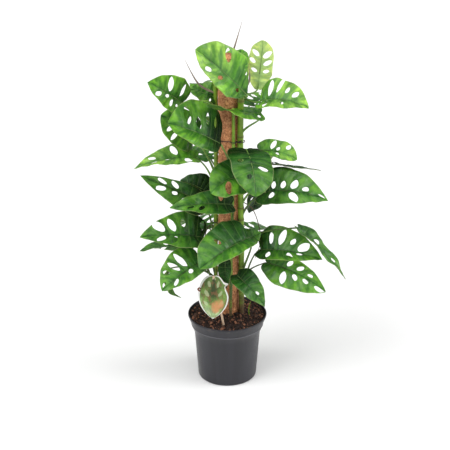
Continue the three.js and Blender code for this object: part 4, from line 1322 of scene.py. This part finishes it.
def blade_material(s, age, side):
    """One side of a blade: its growth with painted shade and light, streaks of painted highlight and shade,
    veins, net and margin, with light let through.
    """
    top, look = side == "top", BLADE_SIDES[side]
    rough = s.roughness if top else 0.6
    blade = Finish(f"leaf_{age}_{side}", specular_ior_level=0.12, coat_roughness=rough)
    veins, midrib, net, margin, outward, stripe_light = blade.group(
        bpy.data.node_groups.get("Vein Pattern") or vein_group(), {
            "UV": blade.out("UVMap", {}, uv_map="vein"), "Vein Width": look["vein"],
            "Midrib Width": look["midrib"],
        },
    )
    tint = blade.attribute("tint")
    patch, worn = blade.mottle(
        blade.object_place(), 45, 170, BLADE["patch_dark"], BLADE["patch_light"], 0.25,
    )
    grown = blade.blend(tint, toned(s.mature), toned(s.young))
    if not top:
        grown = blade.blend(0.55, grown, toned(s.underside))
    # Painted light: a tint above 1 turns the blade pale, as if lit from behind.
    grown = blade.blend(blade.ramp(tint, 1, 2), grown, toned(s.pale))
    # Painted shade: a tint below 0 turns the blade blackish.
    grown = blade.blend(blade.ramp(tint, 0, -1), grown, BLADE["shade_black"])
    colour = blade.times(grown, patch)
    # Painted shade towards the midrib and painted light towards the margin.
    spread = blade.ramp(outward, 0, 0.8)
    colour = blade.blend(spread, blade.times(colour, BLADE["middle"]), blade.times(colour, BLADE["margin"]))
    # Painted highlight and shade: lighter and darker streaks, as light falls on a quilted, crumpled blade.
    colour = blade.blend(stripe_light, blade.times(colour, BLADE["furrow_shade"]), blade.times(colour, BLADE["crest_highlight"]))
    # On the palest blades the painted light from behind hides most of the pattern.
    colour = blade.blend(blade.ramp(tint, 1.2, 2, 0, 0.7), colour, grown)
    pale = blade.blend(0.5, colour, BLADE["vein"])
    # On the top side the midrib is painted darker, as the shade in its groove; on the underside it is pale.
    rib = blade.times(colour, BLADE["rib"]) if top else pale
    colour = blade.blend(veins * look["shown"], colour, pale)
    colour = blade.blend(midrib * 0.75, colour, rib)
    colour = blade.blend(net * 0.14, colour, pale)
    colour = blade.blend(margin * 0.4, colour, BLADE["edge"])
    blade.give(
        base_color=colour,
        # Less coat where the tint holds painted shade, so that the painted shade stays dark.
        coat_weight=blade.ramp(tint, -0.8, 0.3, 0, 0.75),
        roughness=blade.ramp(worn, 0, 1, rough - 0.06, rough + 0.1),
        normal=blade.bump(net * -0.35 + veins * look["relief"], strength=0.5, depth=0.0008),
    )
    light = blade.out("BsdfTranslucent", {"Color": blade.times(colour, BLADE["through"])})
    let_in = s.translucency + (0.08 if age == "young" else -0.06)
    body = Signal(blade, blade.shader.outputs[0])
    mixed = blade.out("MixShader", {0: let_in, 1: body, 2: light})
    blade.feed(blade.tree.nodes["Material Output"].inputs["Surface"], mixed)
    return blade.material


def build_leaves(s):
    """Every leaf: its quilted, perforated blade with a thickness, and its stalk from the stem."""
    kinds = {".": None} | WINDOWS
    cells = {letter: as_mesh(panel_cell(window), "panel") for letter, window in kinds.items()}
    materials = {}
    for age, dark, light in (("young", 1.1, 2.2), ("mature", 0.5, 1.1)):
        stalk = plain_finish(
            f"leaf_{age}_stalk", toned(s.stalk, dark), toned(s.stalk, light), 40, 300, (0.42, 0.6),
        )
        materials[age] = [*(blade_material(s, age, side) for side in BLADE_SIDES), stalk]
    draw = random.Random(5)
    for name, row in LEAVES.items():
        axes = blade_axes(row)
        bm = leaf_sheet(row, cells, draw)
        vein = bm.loops.layers.uv.new("vein")
        tint = bm.verts.layers.float.new("tint")
        shade = row["tint"] + draw.uniform(-SHADE["spread"], SHADE["spread"])
        bulge = s.quilting / MM * row["width"] / 90
        for face in bm.faces:
            for loop in face.loops:
                at = loop.vert.co
                loop[vein].uv = (at.x / PANELS, (at.y + 1) / 2)
        flat = {}
        for vert in bm.verts:
            flat[vert] = vert.co.copy()
            # Painted shade: the tint drops towards the blade's foot, and near the pole low in the plant.
            in_shade = row["dark"] * max(1 - vert.co.x / SHADE["foot_veins"], 0)
            uneven = 1 + RELIEF["uneven"] * math.sin(4.7 * vert.co.x + 40 * shade) * abs(vert.co.y)
            vert.co = blade_point(row, axes, vert.co.x, vert.co.y * uneven)
            away = max(math.hypot(vert.co.x - POLE["x"], vert.co.y) - s.shaded_radius / MM, 0)
            below = held((SHADE["below"] - vert.co.z) / SHADE["over"])
            in_shade += s.shading * below * hump(away, SHADE["reach"])
            vert[tint] = max(shade - in_shade, SHADE["darkest"])
        bmesh.ops.remove_doubles(bm, verts=bm.verts, dist=0.02)
        bm.normal_update()
        for vert in bm.verts:
            out = abs(flat[vert].y)
            between = math.sin(math.pi * (flat[vert].x % 1)) ** 2
            rise = bulge * (between - 0.4) * math.sin(math.pi * min(out, 1) ** 0.8) ** 0.6
            groove = RELIEF["groove"] * hump(out, RELIEF["groove_width"])
            crumple = RELIEF["crumple"] * lumps(vert.co, RELIEF["crumple_size"])
            vert.co += vert.normal * (rise - groove + crumple)
        thicken(bm, s.thickness / MM)
        bm.from_mesh(leaf_stalk(row, axes))
        age = "young" if name in YOUNG else "mature"
        finish_piece(bm, f"{name}_leaf", materials[age], (f"leaf_{name}",))


# Care label

# Marks on the card's right edge: at a share of its height and over a share of it, from a share of its
# width outwards, growing with a power to so many millimetres.
EAR = dict(at=0.66, over=0.2, start=0.55, power=2, size=35)
SPUR = dict(at=0.62, over=0.018, start=0.8, power=1, size=45)
NICK = dict(at=0.53, over=0.06, start=0, power=3, size=3)

# The dry curl of card at its left edge, wound inwards.
DRY_CURL = dict(
    centre=(-58, -71, 238), steps=22, start=-60, step=-15, radius=3.6, winding=0.07, thickness=1.7,
    taper=0.04, drift=0.1, flat=1.3,
)
MISTY_GREEN = (0.42, 0.56, 0.33, 1)
DRIED_BROWN = (0.22, 0.1, 0.04, 1)
OPENING = (0.62, 0.7, 0.42, 1)


def label_edge(t):
    """The right half of the card's outline at a share of the way from its tip to its notch."""
    half = min(int(t * 2), 1)
    u = t * 2 - half
    a, b, c, d = (Vector(p) for p in LABEL_EDGE[half * 3:half * 3 + 4])
    return a * (1 - u) ** 3 + b * (3 * u * (1 - u) ** 2) + c * (3 * u * u * (1 - u)) + d * u ** 3


def edge_mark(mark, across, t):
    """How far a mark moves a place on the card, in millimetres."""
    grown = max(across - mark["start"], 0) ** mark["power"]
    return mark["size"] * grown * hump(t - mark["at"], mark["over"])


def card_material(s):
    """A printed card: a generic perforated leaf in greens with a warm patch, inside a white border."""
    card = Finish("label_print")
    uv = card.out("UVMap", {}, uv_map="card")
    across, run = card.axis(uv, "X") * 2 - 1, card.axis(uv, "Y")
    out = abs(across)
    green, uneven = card.mottle(
        card.object_place(), 75, 300, toned(s.green, 0.45), toned(s.green, 1.5), 0.3,
    )
    rows = ((run - out * 0.1) * 5).math("FRACT")
    up_down, in_out = (rows - 0.5) / 0.27, (out - 0.5) / 0.2
    openings = card.ramp(up_down * up_down + in_out * in_out + uneven * 0.9, 1.45, 1)
    above = card.ramp(run, 0.3, 0.7)
    # Painted shade: the middle of the card's upper half is darkened, as where the bowed card is shaded.
    centre = card.ramp(out, 0.6, 0.1) * above
    misty = card.ramp(run + across * 0.12, 0.42, 0.1)
    browned = card.noise(uv, 9, detail=3)
    colour = card.blend(misty * 0.55, green, MISTY_GREEN)
    colour = card.blend(above * 0.5, colour, toned(s.green, 0.4))
    colour = card.blend(centre * 0.88, colour, toned(s.green, 0.12))
    colour = card.blend(card.ramp(browned, 0.5, 0.62, 0, 0.65), colour, DRIED_BROWN)
    colour = card.blend(openings * 0.5, colour, OPENING)
    warm_x, warm_y = across - 0.3, (run - 0.3) * 2.6
    ragged = (browned + uneven) * 0.14
    warm = card.ramp(warm_x * warm_x + warm_y * warm_y + ragged, 0.4, 0.16)
    colour = card.blend(warm * 0.9, colour, toned(s.warm))
    framed = card.ramp(out, 0.88, 0.91).math("MAXIMUM", card.ramp(abs(run - 0.5), 0.462, 0.472))
    return card.give(
        base_color=card.blend(framed, colour, toned(s.border)),
        roughness=card.ramp(uneven, 0, 1, 0.36, 0.46),
    )


def build_card(s):
    """The leaf-shaped care card, bowed back, with its ear, spur and nick and its dry curl."""
    tip, notch = LABEL_EDGE[0][1], LABEL_EDGE[-1][1]
    bm = bmesh.new()
    bmesh.ops.create_grid(bm, x_segments=32, y_segments=64, size=1)
    card = bm.loops.layers.uv.new("card")
    for face in bm.faces:
        for loop in face.loops:
            at = loop.vert.co
            loop[card].uv = ((at.x + 1) / 2, (at.y + 1) / 2)
    for vert in bm.verts:
        across, t = vert.co.x, (vert.co.y + 1) / 2
        edge = label_edge(t)
        middle = tip + (notch - tip) * t ** 1.15 * (1.12 - 0.12 * t)
        tall = middle + (edge.y - middle) * abs(across) ** 1.6
        ear = edge_mark(EAR, across, t)
        bow = -s.bow / MM * across ** 2 * (0.4 + 0.6 * t) + 0.5 * math.sin(5 * t + 2 * across)
        wide = across * edge.x * LABEL["width"] - 0.6 * ear + edge_mark(SPUR, across, t)
        wide -= edge_mark(NICK, across, t)
        vert.co = (wide, tall * LABEL["height"], (bow + ear) * min(edge.x / 0.2, 1))
    bmesh.ops.remove_doubles(bm, verts=bm.verts, dist=0.01)
    turn = Matrix.Rotation(math.radians(LABEL["turn"]), 4, "Z")
    lean = Matrix.Rotation(math.radians(90 - LABEL["lean"]), 4, "X")
    bmesh.ops.transform(bm, matrix=Matrix.Translation(LABEL["centre"]) @ turn @ lean, verts=bm.verts)
    thicken(bm, LABEL["thickness"])
    curl = []
    for k in range(DRY_CURL["steps"]):
        turn = math.radians(DRY_CURL["start"] + DRY_CURL["step"] * k)
        drift = DRY_CURL["drift"] * k / DRY_CURL["radius"]
        arm = Vector((math.cos(turn), drift, math.sin(turn)))
        curl.append(Vector(DRY_CURL["centre"]) + (DRY_CURL["radius"] - DRY_CURL["winding"] * k) * arm)
    radii = [DRY_CURL["thickness"] - DRY_CURL["taper"] * k for k in range(DRY_CURL["steps"])]
    bm.from_mesh(rod(curl, radii, 10, DRY_CURL["flat"], material=2))
    back = plain_finish("label_back", (0.62, 0.5, 0.46, 1), (0.8, 0.7, 0.66, 1), 120, 900, (0.55, 0.7))
    materials = [card_material(s), back, skin_material("label_curl", s.dry, 0.6)]
    finish_piece(bm, "label_card_fine", materials, ("label_card",))


def build_stick(s):
    """The flat wooden stick that the card is threaded on, pointed below, its edges eased."""
    low, high = Vector(STICK["foot"]), Vector(STICK["head"])
    length = (high - low).length
    bm = bmesh.new()
    bmesh.ops.create_cube(bm, size=1)
    bmesh.ops.scale(bm, vec=(STICK["width"], length, STICK["thickness"]), verts=bm.verts)
    bmesh.ops.translate(bm, vec=(0, length / 2, 0), verts=bm.verts)
    bmesh.ops.bisect_plane(
        bm, geom=[*bm.verts, *bm.edges, *bm.faces], plane_co=(0, STICK["point"], 0), plane_no=(0, 1, 0),
    )
    for vert in bm.verts:
        if vert.co.y < 0.1:
            vert.co.x *= 0.08
    bmesh.ops.bevel(
        bm, geom=list(bm.edges), offset=0.3, segments=2, profile=0.5, affect="EDGES", material=-1,
    )
    way = Vector((0, 1, 0)).rotation_difference(high - low).to_matrix().to_4x4()
    bmesh.ops.transform(bm, matrix=Matrix.Translation(low) @ way, verts=bm.verts)
    wood = plain_finish(
        "label_stick_wood", toned(s.stick, 0.75), toned(s.stick, 1.15), 380, 1400, (0.5, 0.7), drawn=0.08,
    )
    finish_piece(bm, "label_stick_fine", [wood], ("label_stick",), smooth=False)


# Stage

# The camera, fitted to the pot's rim, ring and base. The image is 450 by 450.
CAMERA = dict(
    image=450, focal_pixels=1291, sensor=36, place=(0, -2.4836, 1.441), pitch=23.65, axis_offset=2.3,
)
FLOOR_HALF = 30


def build_stage(s):
    """A plain pale floor, soft light from all round, and the camera fitted to the picture's view."""
    bm = bmesh.new()
    bmesh.ops.create_grid(bm, x_segments=1, y_segments=1, size=FLOOR_HALF)
    floor = in_scene("floor", as_mesh(bm, "floor"))
    floor.data.materials.append(Finish("floor_pale", base_color=toned(s.floor), roughness=0.9).material)

    world = bpy.data.worlds.new("studio")
    world.use_nodes = True
    sky = Paint(world.node_tree)
    background = world.node_tree.nodes["Background"]
    sky.feed(background.inputs["Color"], (1, 1, 1, 1))
    seen = sky.out("LightPath", {}, "Is Camera Ray")
    sky.feed(background.inputs["Strength"], sky.ramp(seen, 0, 1, s.world, 1))
    bpy.context.scene.world = world
    for name, strength, spread, spot in (
        ("left_light", s.left, 50, (-1.6, -0.9, 1.5)),
        ("right_light", s.right, 40, (1.7, -0.15, 0.9)),
        ("top_light", s.top, 70, (0.1, -0.9, 2.4)),
    ):
        light = bpy.data.lights.new(name, "SUN")
        light.energy = strength
        light.angle = math.radians(spread)
        lamp = in_scene(name, light)
        lamp.location = spot
        lamp.rotation_euler = (-Vector(spot)).to_track_quat("-Z", "Y").to_euler()

    data = bpy.data.cameras.new("camera")
    data.sensor_width = CAMERA["sensor"]
    data.lens = CAMERA["sensor"] * CAMERA["focal_pixels"] / CAMERA["image"]
    data.shift_x = -CAMERA["axis_offset"] / CAMERA["image"]
    data.clip_end = 100
    camera = in_scene("camera", data)
    camera.location = CAMERA["place"]
    camera.rotation_euler = (math.radians(90 - CAMERA["pitch"]), 0, 0)
    bpy.context.scene.camera = camera
    bpy.context.scene.view_settings.view_transform = "Standard"


# Operators

class MONSTERA_OT_stage(bpy.types.Operator):
    """Set up the floor, the lights and the camera"""

    bl_idname = "monstera.stage"
    bl_label = "Floor, Lights and Camera"

    def execute(self, context):
        build_stage(context.scene.monstera_stage)
        return {"FINISHED"}


class MONSTERA_OT_pot(bpy.types.Operator):
    """Build the nursery pot"""

    bl_idname = "monstera.pot"
    bl_label = "Pot"

    def execute(self, context):
        build_pot(context.scene.monstera_pot)
        return {"FINISHED"}


class MONSTERA_OT_soil(bpy.types.Operator):
    """Build the soil and its bark"""

    bl_idname = "monstera.soil"
    bl_label = "Soil"

    def execute(self, context):
        build_soil(context.scene.monstera_soil)
        return {"FINISHED"}


class MONSTERA_OT_pole(bpy.types.Operator):
    """Build the coir pole"""

    bl_idname = "monstera.pole"
    bl_label = "Coir Pole"

    def execute(self, context):
        build_pole(context.scene.monstera_pole)
        return {"FINISHED"}


class MONSTERA_OT_stems(bpy.types.Operator):
    """Build the stems, the new leaves, the aerial roots and the ties"""

    bl_idname = "monstera.stems"
    bl_label = "Stems and Ties"

    def execute(self, context):
        for build in (build_stems, build_new_leaves, build_roots, build_ties):
            build(context.scene.monstera_stems)
        return {"FINISHED"}


class MONSTERA_OT_leaves(bpy.types.Operator):
    """Build the perforated leaves and their stalks"""

    bl_idname = "monstera.leaves"
    bl_label = "Leaves"

    def execute(self, context):
        build_leaves(context.scene.monstera_leaves)
        return {"FINISHED"}


class MONSTERA_OT_label(bpy.types.Operator):
    """Build the care label and its stick"""

    bl_idname = "monstera.label"
    bl_label = "Care Label"

    def execute(self, context):
        build_card(context.scene.monstera_label)
        build_stick(context.scene.monstera_label)
        return {"FINISHED"}


# What is built, in order: each step's name, its settings and its operator. The scene keeps the
# settings under the name, and its two halves are the operator's family and action.
STEPS = (
    ("monstera_stage", StageSettings, MONSTERA_OT_stage),
    ("monstera_pot", PotSettings, MONSTERA_OT_pot),
    ("monstera_soil", SoilSettings, MONSTERA_OT_soil),
    ("monstera_pole", PoleSettings, MONSTERA_OT_pole),
    ("monstera_stems", StemSettings, MONSTERA_OT_stems),
    ("monstera_leaves", LeafSettings, MONSTERA_OT_leaves),
    ("monstera_label", LabelSettings, MONSTERA_OT_label),
)


class MONSTERA_PT_panel(bpy.types.Panel):
    """The steps that build the plant, with their sizes and colours"""

    bl_idname = "MONSTERA_PT_panel"
    bl_label = "Potted Monstera"
    bl_space_type = "VIEW_3D"
    bl_region_type = "UI"
    bl_category = "Monstera"

    def draw(self, context):
        for group, _, step in STEPS:
            box = self.layout.box()
            settings = getattr(context.scene, group)
            for name in settings.bl_rna.properties.keys():
                if name not in ("rna_type", "name"):
                    box.prop(settings, name)
            box.operator(step.bl_idname)


def register():
    """Registers the settings, the operators and the panel."""
    for group, settings, step in STEPS:
        bpy.utils.register_class(settings)
        setattr(bpy.types.Scene, group, PointerProperty(type=settings))
        bpy.utils.register_class(step)
    bpy.utils.register_class(MONSTERA_PT_panel)


def unregister():
    """Takes back what register made."""
    bpy.utils.unregister_class(MONSTERA_PT_panel)
    for group, settings, step in reversed(STEPS):
        bpy.utils.unregister_class(step)
        delattr(bpy.types.Scene, group)
        bpy.utils.unregister_class(settings)


def main():
    """Registers the add-on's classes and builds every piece."""
    register()
    for group, _, _ in STEPS:
        family, action = group.split("_")
        getattr(getattr(bpy.ops, family), action)()


if __name__ == "__main__":
    main()
